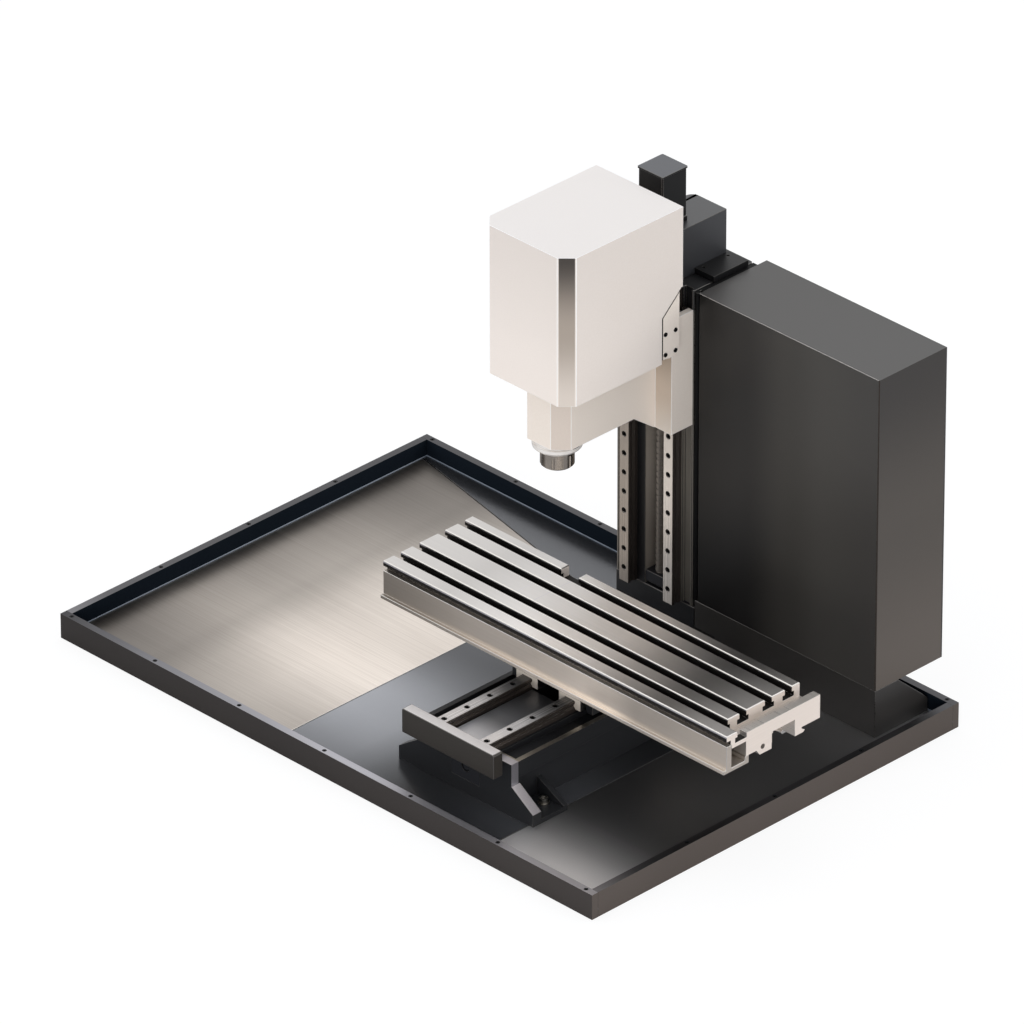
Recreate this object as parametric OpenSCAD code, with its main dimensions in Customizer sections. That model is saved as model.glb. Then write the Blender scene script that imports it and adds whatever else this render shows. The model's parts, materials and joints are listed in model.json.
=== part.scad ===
// Bench milling machine on a chip tray: a low base with linear rails carries a saddle and a slotted
// table, a column carries the head on two vertical rails, and a tall cabinet stands beside the column.
// Origin: centre of the tray's underside. +X along the tray, +Y to the rear, +Z up. Millimetres.

/* [Tray] */
// Length of the tray outside its rim
tray_l = 1100; // [1060:1:1160]
// Width of the tray outside its rim
tray_w = 749; // [745:1:790]
// Height of the rim bars
rim_h = 41; // [34:0.5:46]
// Width of the rim bars
rim_w = 12; // [10:0.5:14]
// Thickness of the tray floor sheet
floor_t = 8; // [5:0.5:10]
// Thickness of the loose deck plates
deck_t = 4.5; // [3:0.5:6]
// Seam between two deck plates
deck_seam = 1; // [0.6:0.1:1.5]
// Distance of the outer rim screws from the tray corners
rim_screw_inset = 18; // [14:1:24]
// Greatest pitch of the rim screws
rim_screw_pitch = 205; // [150:5:260]

/* [Base] */
// Place of the base's centre line along the tray
base_x = 192; // [186:1:198]
// Half width of the base across its side ledges
base_half = 93.5; // [91:0.5:97]
// Height of the base casting above the deck
base_h = 87; // [85:0.5:90]
// Half width of the front and rear foot plates
foot_half = 137; // [125:1:145]
// Thickness of the foot plates
foot_t = 17; // [12:0.5:19]
// Length of the foot pads behind the plates
pad_l = 53; // [47:1:56]
// Half width of the screw trough between the rails
trough_half = 29; // [27.5:0.5:30]
// Depth of the screw trough below the rail seats
trough_d = 65.5; // [64:0.5:67]
// Width of the bar across the front of the rails
bar_l = 187; // [170:1:195]
// Depth of the front bar
bar_t = 18; // [12:0.5:22]
// Height of the front bar
bar_h = 39.5; // [30:0.5:44]

/* [Rails] */
// Width of every linear rail
rail_w = 20; // [18:0.5:21]
// Height of every linear rail
rail_h = 17.5; // [16:0.5:18.5]
// Half distance between the base rails
y_rail_half = 43.5; // [42.5:0.5:44.5]
// Length of the base rails
y_rail_l = 450; // [446:1:452]
// Half distance between the column rails
z_rail_half = 45; // [44:0.5:46]
// Pitch of the screws in the base rails
rail_pitch = 46; // [40:1:60]
// Pitch of the screws in the column rails
column_pitch = 32; // [28:1:60]
// Width of every rail block
block_w = 44; // [40:0.5:44.5]
// Distance from a rail's foot to its block's mounting face
block_top = 30; // [29:0.5:31]
// Clearance between a rail and its block
rail_gap = 0.1; // [0.06:0.02:0.2]

/* [Screws] */
// Radius of the three ball screws
screw_r = 8; // [6:0.5:9]
// Radius of the ball nuts
nut_r = 13; // [11.5:0.5:13.5]
// Radial running clearance of turning shafts
run_gap = 0.05; // [0.02:0.01:0.08]
// Side of the base screw's motor
y_motor_w = 42; // [38:1:42]
// Side of the column screw's motor
z_motor_w = 52; // [48:1:55]
// Height of the column screw's motor
z_motor_l = 88.5; // [60:0.5:96]

/* [Table] */
// Length of the table
table_l = 695; // [680:1:710]
// Width of the table across its strips
table_w = 181; // [178:1:186]
// Height of the table top above the tray's underside
table_z = 240; // [236:1:246]
// Place of the table's centre along the tray at rest
table_x = 264; // [250:1:280]
// Place of the table's front edge at rest
table_front = -168; // [-170:0.5:-165]
// Width of the T slots' necks
slot_w = 14; // [12:0.5:15]
// Width of the T slots' wide part
slot_wide = 23; // [20:0.5:24]
// Depth of the T slots' necks
slot_neck = 9; // [7:0.5:9.5]
// Full depth of the T slots
slot_d = 17; // [15:0.5:18]
// Length of the coolant gutter at the right end
gutter_l = 33; // [25:1:40]
// Thickness of the rim at the gutter's end
gutter_rim = 13.5; // [8:0.5:15]
// Thickness of the front channel's upright
channel_t = 10; // [7:0.5:11]

/* [Column] */
// Place of the column's centre line along the tray
column_x = 53; // [51:1:55]
// Place of the column's front face
column_y = 249.5; // [247:0.5:252]
// Width of the column
column_w = 156; // [152:1:158]
// Depth of the column
column_d = 122.5; // [110:0.5:130]
// Height of the column's foot above the tray's underside
column_foot_z = 78; // [74:0.5:84]
// Height of the column's top above the tray's underside
column_top_z = 605; // [600:1:625]
// Width of the channel in the column's front
channel_w = 37; // [34:0.5:38]
// Depth of the channel in the column's front
channel_d = 34; // [32:0.5:36]

/* [Cabinet] */
// Length of the cabinet along the tray
cabinet_l = 360; // [320:1:375]
// Depth of the cabinet
cabinet_d = 139; // [125:1:145]
// Height of the cabinet's underside above the tray's underside
cabinet_z = 91; // [86:0.5:96]
// Sheet thickness of the cabinet
sheet_t = 2.5; // [1.5:0.25:4]
// Width of the strip between column and cabinet
strip_w = 9; // [6:0.5:11]

/* [Head] */
// Half width of the head's carriage
carriage_half = 78; // [76:0.5:78]
// Underside of the carriage at rest
carriage_z = 384; // [378:1:390]
// Height of the carriage
carriage_h = 190; // [180:1:200]
// Half width of the arm
arm_half = 45; // [42:0.5:47]
// Underside of the arm at rest
arm_z = 415; // [410:1:420]
// Distance of the spindle from the column's front face
spindle_reach = 199; // [195:1:203]
// Half width of the head's cover
cover_half = 88; // [87:0.5:92]
// Underside of the cover at rest
cover_z = 517; // [516:0.5:519]
// Height of the cover
cover_h = 243; // [230:1:260]
// Depth of the cover
cover_d = 235; // [230:1:236]
// Wall of the cover
cover_t = 2; // [1.5:0.25:3]
// Chamfer of the cover's front corners
cover_chamfer = 19.5; // [14:0.5:24]

/* [Spindle] */
// Radius of the spindle cartridge in the arm
cartridge_r = 31; // [29:0.5:33]
// Radius of the cartridge's lower flange
flange_r = 37; // [35:0.5:39]
// Radius of the spindle shaft
shaft_r = 17; // [15:0.5:18]
// Radius of the collet nut
collet_nut_r = 25.25; // [24:0.25:27]
// Radius of the tool bore in the collet
tool_r = 5; // [3:0.5:6]
// Side of the spindle motor
motor_w = 86; // [78:1:90]
// Height of the spindle motor
motor_l = 125; // [100:1:150]
// Radius of the pulley on the spindle
spindle_pulley_r = 24; // [20:1:26]
// Radius of the pulley on the motor
motor_pulley_r = 16; // [14:1:18]

/* [Hidden] */
$fn = 64;
cut = 1; // how far a cutting solid runs past the face that it opens

// Tray and deck
deck_z = floor_t + deck_t;
deck_x = tray_l / 2 - rim_w;
deck_y = tray_w / 2 - rim_w;
steel_right_x = -107; // seam between the bright plate and the dark one
steel_back_y = deck_y - 103.5; // where the bright plate's skewed rear edge meets that seam
steel_skew = 0.22; // rise of the skewed edge per millimetre to the left
right_seam_x = 320; // seam between the two dark plates
rim_head_r = 3.4;
rim_head_d = 2;
rim_joint = 0.2; // seam where a short bar meets a long one

// Base
seat_z = deck_z + base_h; // where the base rails sit
ledge_z = seat_z - 1.5;
shelf_z = seat_z - 9.5;
beam_z = ledge_z - 26;
wall_out = base_half - 10.5;
wall_in = wall_out - 12;
seat_out = y_rail_half + rail_w / 2 + 4.5;
ledge_w = 8.5;
trough_z = seat_z - trough_d;
base_front_y = -273; // face of the front foot plate
nose_l = 17.5; // how far the rail seats run past the front foot plate
rail_front_y = base_front_y - nose_l;
base_end_y = rail_front_y + y_rail_l + 5.5;
pad_h = 7.5;
rib_t = 8;
toe_h = 20; // height of the foot plates' outer ends above the deck
shoulder_z = deck_z + 49.5; // where the slanted shoulders meet the side walls
bolt_x = (base_half + foot_half) / 2 - 8;
bolt_y = foot_t + pad_l - 19; // from the foot plate's face
y_screw_z = trough_z + 22;
end_plate_t = 9;
bar_z = seat_z + 29 - bar_h;

// Rails and blocks
rail_top = rail_h;
waist_in = 2.6;
bore_r = 3;
head_r = 4.6;
head_d = 6;
rail_screw_h = 5;
block_gap = 4; // from a rail's foot to the near side of its block
block_l = 50;
z_block_l = 75;

// Table, in its own lengthwise and crosswise measures
strip_1 = 21.5;
strip_2 = 23.5;
strip_3 = 37.5;
strip_4 = 26.5;
slot_c = [
  strip_1 + slot_w / 2,
  strip_1 + strip_2 + slot_w * 1.5,
  strip_1 + strip_2 + strip_3 + slot_w * 2.5,
  strip_1 + strip_2 + strip_3 + strip_4 + slot_w * 3.5
];
body_bottom = table_z - 48;
tunnel_roof = body_bottom + 18;
body_front = 39; // front face of the body behind the open trough
x_rail_c = [81, 148]; // centres of the two table rails behind the front edge
x_screw_v = (x_rail_c[0] + x_rail_c[1]) / 2;
x_screw_z = body_bottom - 7;
tunnel_half = (x_rail_c[1] - x_rail_c[0] - rail_w) / 2 - 0.5;
gutter_z = table_z - 22;
end_rim_z = table_z - 9.5;
end_rim_w = table_w + 8; // rear end of the rim, behind the table's front edge
notch_u = [-149, -114];
web_u = 285; // inner face of the lugs that hold the table screw
web_t = 20;
end_pad = 12; // thickness of the two pads under the right end
rail_inset = 26; // how far the table's rails stop before its right end
groove_d = 8; // depth of the groove under the front strip
slab_t = 6.5; // thickness of the strip's foot, which carries the channel
channel_lip = 6;
channel_flange_t = 6;
channel_bottom = body_bottom - 13;
channel_reach = 45;

// Saddle
saddle_top = body_bottom - block_top;
saddle_bottom = seat_z + block_top;
saddle_half = 93;
saddle_front = table_front + 62;
saddle_lip = 3; // how far its upper flange reaches out in front, under the front blocks
saddle_back = saddle_front + 120;
saddle_c = (saddle_front + saddle_back) / 2;
y_block_half = 35; // half distance between the block centres along the base rails
x_block_half = 70; // the same along the table rails
skirt_in = y_rail_half + block_w / 2 + 2.5;
skirt_out = base_half - ledge_w - 3;
nut_lug_half = 21;
nut_lug_l = 40;
y_forward = 40; // the saddle's travel to the front, which ends at the screw cover
lug_end = saddle_c + nut_lug_l / 2;
x_drive_w = 2 * (tunnel_half - 2);
x_drive_l = 70;

// Column
column_back = column_y + column_d;
column_half = column_w / 2;
relief = 5;
z_screw_y = column_y + 14;
z_seat_w = rail_w / 2 + 3;
housing_w = [28, 42]; // how far the motor housing reaches left and right of the column's centre
housing_front = column_y - 11;
housing_back = column_back - 19;
housing_h = 81;
housing_t = 4;
housing_z = column_top_z + housing_h;
lower_bearing_z = column_foot_z + 5;
bearing_h = 18;
coupling_r = 11;

// Cabinet
cabinet_x = column_x + column_half + strip_w + 1;
cabinet_y = column_y + 0.5;
cabinet_top = column_top_z;
stand_top_d = 48;
stand_gap = 37; // from the stand's right end to the tray's rim
stand_back = deck_y - 1.5;

// Head
carriage_front = column_y - 44.5;
carriage_back = column_y - 1;
carriage_top = carriage_z + carriage_h;
face_y = column_y - block_top; // mounting face for the column's blocks
spindle_y = column_y - spindle_reach;
arm_front = spindle_y - 37.5;
arm_chamfer = 21;
arm_top = cover_z + 3;
shelf_t = 18;
shelf_under = carriage_top - shelf_t;
motor_y = spindle_y + 95;
cover_front = spindle_y - 68.5;
cover_back = cover_front + cover_d;
cover_notch_y = column_y - 74.5;
cover_notch_z = cover_z + 75.5;
cover_slant = 36.5;
bracket_out = cover_half - cover_t;
bracket_front = cover_notch_y - 25;
bracket_back = column_y - 37.5;
bracket_low = 3;
bracket_top = 105;
nut_bracket_half = 16;

// Spindle
flange_h = 16;
flange_z = arm_z - flange_h;
nut_h = 30;
collet_nut_z = flange_z - nut_h;
nose_r = shaft_r + 3;
nose_h = 22;
pulley_z = arm_top + 8;
pulley_h = 20;
belt_gap = 0.3;
belt_t = 2.2;
belt_inset = 3;
motor_shaft_r = 7;

// One rail's section, foot on the line y = 0, grown by g on every working face
function rail_points(g) = [
  [-rail_w / 2 - g, -g],
  [rail_w / 2 + g, -g],
  [rail_w / 2 + g, rail_h * 0.34],
  [rail_w / 2 - waist_in + g, rail_h * 0.48],
  [rail_w / 2 - waist_in + g, rail_h * 0.6],
  [rail_w / 2 + g, rail_h * 0.76],
  [rail_w / 2 + g, rail_h - 1],
  [rail_w / 2 - 1 + g, rail_h + g],
  [-rail_w / 2 + 1 - g, rail_h + g],
  [-rail_w / 2 - g, rail_h - 1],
  [-rail_w / 2 - g, rail_h * 0.76],
  [-rail_w / 2 + waist_in - g, rail_h * 0.6],
  [-rail_w / 2 + waist_in - g, rail_h * 0.48],
  [-rail_w / 2 - g, rail_h * 0.34]
];

// Places of the screws along a rail of length l, at pitch p
function rail_steps(l, p) = let (n = floor((l - 30) / p)) [for (i = [0 : n]) (l - n * p) / 2 + i * p];

// A drilled rail that starts at the origin and runs along +Z, its foot on y = 0
module rail(l, p = 0) {
  difference() {
    linear_extrude(l) polygon(rail_points(0));
    if (p > 0)
      for (s = rail_steps(l, p)) {
        translate([0, -cut, s]) rotate([-90, 0, 0]) cylinder(r = bore_r, h = rail_h + 2 * cut, $fn = 24);
        translate([0, rail_h - head_d, s]) rotate([-90, 0, 0]) cylinder(r = head_r, h = head_d + cut, $fn = 24);
      }
  }
}

// The screws of one drilled rail, in the same place
module screws_of_rail(l, p) {
  for (s = rail_steps(l, p))
    translate([0, rail_h - head_d, s]) rotate([-90, 0, 0]) socket_screw(head_r - 0.3, rail_screw_h, bore_r, rail_h - head_d);
}

// A socket head screw: head upwards from z = 0, shank down
module socket_screw(r, h, shank_r, shank_l) {
  difference() {
    union() {
      cylinder(r = r, h = h, $fn = 24);
      translate([0, 0, -shank_l]) cylinder(r = shank_r, h = shank_l + 0.01, $fn = 24);
    }
    translate([0, 0, h / 2]) cylinder(r = r * 0.5, h = h, $fn = 6);
  }
}

// A block round a rail that runs along +Z with its foot on y = 0; l is its length
module rail_block(l) {
  difference() {
    translate([-block_w / 2, block_gap, 0]) cube([block_w, block_top - block_gap, l]);
    translate([0, 0, -cut]) linear_extrude(l + 2 * cut) polygon(rail_points(rail_gap));
  }
}

module at_base_rail(side) {
  translate([base_x + side * y_rail_half, rail_front_y, seat_z]) mirror([0, 1, 0]) rotate([90, 0, 0]) children();
}

module at_column_rail(side) {
  translate([column_x + side * z_rail_half, column_y, column_foot_z]) rotate([0, 0, 180]) children();
}

module at_table_rail(i) {
  translate([table_x - table_l / 2, table_front + x_rail_c[i], body_bottom]) rotate([0, 90, 0]) rotate([0, 0, -90]) children();
}

// Tray

module tray_floor() {
  color("#2b2c2f")
    translate([-deck_x, -deck_y, 0]) cube([2 * deck_x, 2 * deck_y, floor_t]);
}

function rim_steps(l) = let (n = ceil((l - 2 * rim_screw_inset) / rim_screw_pitch))
  [for (i = [0 : n]) -l / 2 + rim_screw_inset + i * (l - 2 * rim_screw_inset) / n];
rim_long = [for (x = rim_steps(tray_l), s = [-1, 1]) [x, s * (tray_w - rim_w) / 2]];
rim_short_steps = rim_steps(tray_w);
rim_short = [for (i = [1 : len(rim_short_steps) - 2], s = [-1, 1]) [s * (tray_l - rim_w) / 2, rim_short_steps[i]]];
rim_places = concat(rim_long, rim_short);

module tray_rim() {
  color("#26221f")
    difference() {
      for (s = [-1, 1]) {
        translate([-tray_l / 2, s * (tray_w - rim_w) / 2 - rim_w / 2, 0]) cube([tray_l, rim_w, rim_h]);
        translate([s * (tray_l - rim_w) / 2 - rim_w / 2, -deck_y + rim_joint, 0])
          cube([rim_w, 2 * (deck_y - rim_joint), rim_h]);
      }
      for (p = rim_places)
        translate([p[0], p[1], rim_h - rim_head_d - 12]) cylinder(r = 1.7, h = 20, $fn = 20);
      for (p = rim_places)
        translate([p[0], p[1], rim_h - rim_head_d]) cylinder(r = rim_head_r, h = 4, $fn = 20);
    }
}

module rim_screws() {
  color("#141414")
    for (p = rim_places)
      translate([p[0], p[1], rim_h - rim_head_d]) socket_screw(rim_head_r - 0.3, 1.6, 1.7, 12);
}

module deck_plate_steel() {
  color("#a89f98")
    translate([0, 0, floor_t]) linear_extrude(deck_t) polygon([
      [-deck_x, -deck_y],
      [steel_right_x - deck_seam / 2, -deck_y],
      [steel_right_x - deck_seam / 2, steel_back_y],
      [-deck_x, steel_back_y + steel_skew * (deck_x + steel_right_x)]
    ]);
}

module deck_plate_centre() {
  color("#35363a")
    translate([0, 0, floor_t]) linear_extrude(deck_t) polygon([
      [steel_right_x + deck_seam / 2, -deck_y],
      [right_seam_x - deck_seam / 2, -deck_y],
      [right_seam_x - deck_seam / 2, deck_y],
      [-deck_x, deck_y],
      [-deck_x, steel_back_y + steel_skew * (deck_x + steel_right_x) + deck_seam],
      [steel_right_x + deck_seam / 2, steel_back_y + deck_seam]
    ]);
}

module deck_plate_right() {
  color("#303135")
    translate([right_seam_x + deck_seam / 2, -deck_y, floor_t])
      cube([deck_x - right_seam_x - deck_seam / 2, 2 * deck_y, deck_t]);
}

// Base

// Right half of the base's section, from the trough out to the hollow underneath
base_half_points = [
  [trough_half, trough_z],
  [trough_half, seat_z],
  [seat_out, seat_z],
  [seat_out, shelf_z],
  [base_half - ledge_w, shelf_z],
  [base_half - ledge_w, ledge_z],
  [base_half, ledge_z],
  [base_half, beam_z],
  [wall_out, beam_z - 6],
  [wall_out, deck_z],
  [wall_in, deck_z],
  [wall_in, shelf_z - 12],
  [trough_half + 14, shelf_z - 12],
  [trough_half + 9, trough_z - 9]
];
function flipped(p) = [for (i = [len(p) - 1 : -1 : 0]) [-p[i][0], p[i][1]]];
base_section = concat(base_half_points, flipped(base_half_points));

// Foot plate in its own plane: slanted shoulders down to low toes
foot_half_points = [
  [base_half, ledge_z],
  [base_half, shoulder_z],
  [foot_half, deck_z + toe_h],
  [foot_half, deck_z]
];
foot_outline = concat(flipped(foot_half_points), foot_half_points);

module upright_plate(t) {
  rotate([90, 0, 0]) translate([0, 0, -t]) linear_extrude(t) children();
}

module foot_rib() {
  polygon([
    [wall_out - 0.5, deck_z],
    [wall_out - 0.5, shoulder_z - 12],
    [foot_half, deck_z + pad_h + 3],
    [foot_half, deck_z]
  ]);
}

// One pair of feet: the plate at y = 0, the pads behind it towards +Y
module foot_pair() {
  difference() {
    union() {
      difference() {
        upright_plate(foot_t) polygon(foot_outline);
        translate([-trough_half, -cut, trough_z]) cube([2 * trough_half, foot_t + 2 * cut, base_h]);
      }
      for (s = [0, 1])
        mirror([s, 0, 0]) {
          translate([wall_out - 0.5, foot_t - 0.5, deck_z]) cube([foot_half - wall_out + 0.5, pad_l, pad_h]);
          translate([0, foot_t + pad_l - rib_t - 0.5, 0]) upright_plate(rib_t) foot_rib();
        }
    }
    for (s = [-1, 1])
      translate([s * bolt_x, bolt_y, deck_z - cut]) cylinder(r = 5, h = pad_h + 2 * cut, $fn = 32);
  }
}

module base_casting() {
  color("#2f3033")
    translate([base_x, 0, 0])
      difference() {
        union() {
          translate([0, base_front_y, 0]) upright_plate(base_end_y - base_front_y) polygon(base_section);
          difference() {
            translate([-seat_out, rail_front_y, beam_z]) cube([2 * seat_out, nose_l + 0.5, seat_z - beam_z]);
            translate([-trough_half, rail_front_y - cut, beam_z - cut])
              cube([2 * trough_half, nose_l + 2 * cut, seat_z]);
          }
          translate([0, base_front_y, 0]) foot_pair();
          translate([0, base_end_y, 0]) mirror([0, 1, 0]) foot_pair();
          translate([-trough_half - 1, base_end_y - end_plate_t, trough_z - 1])
            cube([2 * trough_half + 2, end_plate_t, y_screw_z + 21 - trough_z + 1]);
        }
        translate([0, base_end_y - end_plate_t - cut, y_screw_z]) rotate([-90, 0, 0])
          cylinder(r = coupling_r + 3, h = end_plate_t + 2 * cut);
      }
}

module foot_bolts() {
  color("#6d6a66")
    for (y = [base_front_y + bolt_y, base_end_y - bolt_y], s = [-1, 1])
      translate([base_x + s * bolt_x, y, deck_z + pad_h]) {
        difference() {
          union() {
            cylinder(r = 9, h = 1.6, $fn = 32);
            translate([0, 0, 1.6]) cylinder(r = 7, h = 7, $fn = 32);
            translate([0, 0, -pad_h]) cylinder(r = 4.7, h = pad_h + 0.01, $fn = 32);
          }
          translate([0, 0, 5]) cylinder(r = 3.6, h = 5, $fn = 6);
        }
      }
}

module front_bar() {
  color("#595552")
    translate([base_x, rail_front_y, bar_z])
      rotate([90, 0, 0]) linear_extrude(bar_t) polygon([
        [-bar_l / 2, 0],
        [bar_l / 2, 0],
        [bar_l / 2, bar_h - 2],
        [bar_l / 2 - 2, bar_h],
        [-bar_l / 2 + 2, bar_h],
        [-bar_l / 2, bar_h - 2]
      ]);
}

module y_rail_left() {
  color("#c4c1bd") at_base_rail(-1) rail(y_rail_l, rail_pitch);
}

module y_rail_right() {
  color("#c4c1bd") at_base_rail(1) rail(y_rail_l, rail_pitch);
}

module rail_screws() {
  color("#1b1b1b") {
    for (s = [-1, 1])
      at_base_rail(s) screws_of_rail(y_rail_l, rail_pitch);
    for (s = [-1, 1])
      at_column_rail(s) screws_of_rail(z_rail_l, column_pitch);
  }
}
z_rail_l = column_top_z - column_foot_z;

// The front block closes the trough's mouth, the rear one stands before the coupling
y_bearing = [base_front_y, base_end_y - 49];
y_bearing_t = [24, 16];

module y_screw_bearings() {
  color("#3a3b3e")
    for (i = [0, 1])
      translate([base_x, y_bearing[i], 0])
        difference() {
          translate([-trough_half, 0, trough_z])
            cube([2 * trough_half, y_bearing_t[i], seat_z - 1.5 - trough_z]);
          translate([0, -cut, y_screw_z]) rotate([-90, 0, 0])
            cylinder(r = screw_r + run_gap, h = y_bearing_t[i] + 2 * cut);
        }
}

module y_motor() {
  color("#1f2022")
    translate([base_x, base_end_y, y_screw_z])
      difference() {
        union() {
          for (y = [0, 38])
            translate([-y_motor_w / 2, y, -y_motor_w / 2]) cube([y_motor_w, 10, y_motor_w]);
          translate([0, 9, 0]) rotate([-90, 22.5, 0])
            cylinder(r = y_motor_w * 0.53, h = 30, $fn = 8);
        }
        translate([0, -cut, 0]) rotate([-90, 0, 0]) cylinder(r = 4 + run_gap, h = 14, $fn = 32);
      }
}

module screw_cover() {
  color("#55565a")
    translate([base_x - trough_half - 2, rail_front_y + 1, seat_z])
      cube([2 * trough_half + 4, lug_end - nut_lug_l - y_forward - 3 - rail_front_y, 2]);
}

module bridge_foot() {
  color("#2a2b2e")
    translate([column_x - column_half + 15, base_end_y, deck_z])
      difference() {
        cube([base_x + base_half - column_x + column_half - 15, column_y - base_end_y, 20.5]);
        translate([20, 20, 8]) cube([120, column_y - base_end_y - 40, 20]);
      }
}

module y_screw() {
  color("#b3afaa")
    translate([base_x, y_bearing[0] + 2, y_screw_z]) rotate([-90, 0, 0])
      cylinder(r = screw_r, h = y_bearing[1] + y_bearing_t[1] + 8 - y_bearing[0] - 2);
}

module y_coupling() {
  y0 = y_bearing[1] + y_bearing_t[1] + 3;
  color("#8f8c88")
    translate([base_x, y0, y_screw_z]) rotate([-90, 0, 0])
      difference() {
        union() {
          cylinder(r = coupling_r, h = 26);
          cylinder(r = 4, h = base_end_y + 11 - y0, $fn = 32);
        }
        translate([0, 0, -cut]) cylinder(r = screw_r, h = 5 + cut);
      }
}

// Column base, column and what it carries

module column_base() {
  color("#27282a")
    difference() {
      translate([column_x - column_half, column_y, deck_z])
        cube([column_w + strip_w / 2, stand_back - column_y, column_foot_z - deck_z]);
      translate([column_x - column_half + 16, column_y + 16, deck_z - cut])
        cube([column_w + strip_w / 2 - 32, stand_back - column_y - 32, column_foot_z - deck_z - 14]);
    }
}

module cabinet_stand() {
  x0 = column_x + column_half + strip_w / 2;
  l = deck_x - stand_gap - x0;
  color("#232426")
    difference() {
      translate([x0, 0, 0]) rotate([90, 0, 90]) linear_extrude(l) polygon([
        [cabinet_y, deck_z],
        [stand_back, deck_z],
        [stand_back, rim_h - 6],
        [cabinet_y + stand_top_d, cabinet_z],
        [cabinet_y, cabinet_z]
      ]);
      translate([x0 + 4, 0, 0]) rotate([90, 0, 90]) linear_extrude(l - 8) polygon([
        [cabinet_y + 4, deck_z - cut],
        [stand_back - 4, deck_z - cut],
        [stand_back - 4, rim_h - 9],
        [cabinet_y + stand_top_d - 4, cabinet_z - 5],
        [cabinet_y + 4, cabinet_z - 5]
      ]);
    }
}

column_half_points = [
  [channel_w / 2, channel_d],
  [channel_w / 2, 0],
  [z_rail_half + z_seat_w, 0],
  [z_rail_half + z_seat_w, relief],
  [column_half - 5, relief],
  [column_half - 5, 0],
  [column_half - 2, 0],
  [column_half, 2],
  [column_half, column_d - 3],
  [column_half - 3, column_d]
];

module column() {
  color("#34353a")
    difference() {
      translate([column_x, column_y, column_foot_z])
        linear_extrude(z_rail_l) polygon(concat(column_half_points, flipped(column_half_points)));
      translate([column_x - column_half + 18, column_y + channel_d + 14, column_foot_z - cut])
        cube([column_w - 36, column_d - channel_d - 28, z_rail_l - 20]);
    }
}

module side_strip() {
  low = cabinet_z - column_foot_z + 0.5;
  h = z_rail_l - 1;
  color("#1a1b1c")
    translate([column_x + column_half, column_y, column_foot_z])
      union() {
        translate([0, 3, 0]) cube([strip_w / 2, column_d - 3.5, h]);
        translate([0, 12, low]) cube([strip_w + 0.7, column_d - 12.5, h - low]);
        translate([strip_w / 2, 4, low]) cylinder(r = strip_w / 2 - 0.5, h = h - low, $fn = 32);
      }
}

module z_rail_left() {
  color("#c9c6c2") at_column_rail(-1) rail(z_rail_l, column_pitch);
}

module z_rail_right() {
  color("#c9c6c2") at_column_rail(1) rail(z_rail_l, column_pitch);
}

module z_screw_bearings() {
  color("#3b3c3f") {
    difference() {
      translate([column_x - channel_w / 2, z_screw_y - 13, lower_bearing_z])
        cube([channel_w, channel_d - 4, bearing_h]);
      translate([column_x, z_screw_y, lower_bearing_z - cut])
        cylinder(r = screw_r + run_gap, h = bearing_h + 2 * cut);
    }
    difference() {
      translate([column_x - 23, housing_front + housing_t, column_top_z])
        cube([46, 60, bearing_h]);
      translate([column_x, z_screw_y, column_top_z - cut])
        cylinder(r = screw_r + run_gap, h = bearing_h + 2 * cut);
    }
  }
}

module z_motor() {
  m = z_motor_w / 2;
  color("#17181a")
    translate([column_x, z_screw_y, housing_z])
      difference() {
        union() {
          for (z = [0, z_motor_l - 3])
            translate([0, 0, z]) linear_extrude(z == 0 ? 8 : 3) polygon([
              [m, m - 1.5], [m - 1.5, m], [1.5 - m, m], [-m, m - 1.5],
              [-m, 1.5 - m], [1.5 - m, -m], [m - 1.5, -m], [m, 1.5 - m]
            ]);
          translate([0, 0, 7]) linear_extrude(z_motor_l - 9) polygon([
            [m - 1, m - 3], [m - 3, m - 1], [3 - m, m - 1], [1 - m, m - 3],
            [1 - m, 3 - m], [3 - m, 1 - m], [m - 3, 1 - m], [m - 1, 3 - m]
          ]);
        }
        translate([0, 0, -cut]) cylinder(r = 4 + run_gap, h = 14, $fn = 32);
      }
}

module housing_plan(inset) {
  r = 14;
  x0 = -housing_w[0] + inset;
  x1 = housing_w[1] - inset;
  y0 = housing_front + inset;
  y1 = housing_back - inset;
  union() {
    translate([x0, y0]) square([x1 - x0, y1 - y0 - r]);
    translate([x0 + r, y0]) square([x1 - x0 - r, y1 - y0]);
    translate([x0 + r, y1 - r]) circle(r = r);
  }
}

module motor_housing() {
  color("#3f4244")
    translate([column_x, 0, column_top_z])
      difference() {
        linear_extrude(housing_h) housing_plan(0);
        translate([0, 0, -cut]) linear_extrude(housing_h - housing_t + cut) housing_plan(housing_t);
        translate([0, z_screw_y, housing_h - 10]) cylinder(r = coupling_r + 3, h = 20);
        translate([-z_rail_half, carriage_back - 40, -cut]) cube([2 * z_rail_half, 42, 12]);
      }
}

module cable_cover() {
  color("#141517")
    translate([column_x + housing_w[1] + 0.5, column_y + 38, column_top_z])
      difference() {
        cube([column_half - housing_w[1] + 2.5, 71, 9.5]);
        for (y = [10, 60])
          translate([8, y, 7.5]) cylinder(r = 2.4, h = 4, $fn = 24);
      }
}

z_screw_low = lower_bearing_z + 2;
z_screw_high = column_top_z + bearing_h + 10;

module z_screw() {
  color("#b8b4ae")
    translate([column_x, z_screw_y, z_screw_low]) cylinder(r = screw_r, h = z_screw_high - z_screw_low);
}

module z_coupling() {
  z0 = column_top_z + bearing_h + 3;
  color("#8f8c88")
    translate([column_x, z_screw_y, z0])
      difference() {
        union() {
          cylinder(r = coupling_r, h = 30);
          cylinder(r = 4, h = housing_z + 11 - z0, $fn = 32);
        }
        translate([0, 0, -cut]) cylinder(r = screw_r, h = z_screw_high - z0 + cut);
      }
}

// Cabinet

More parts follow.
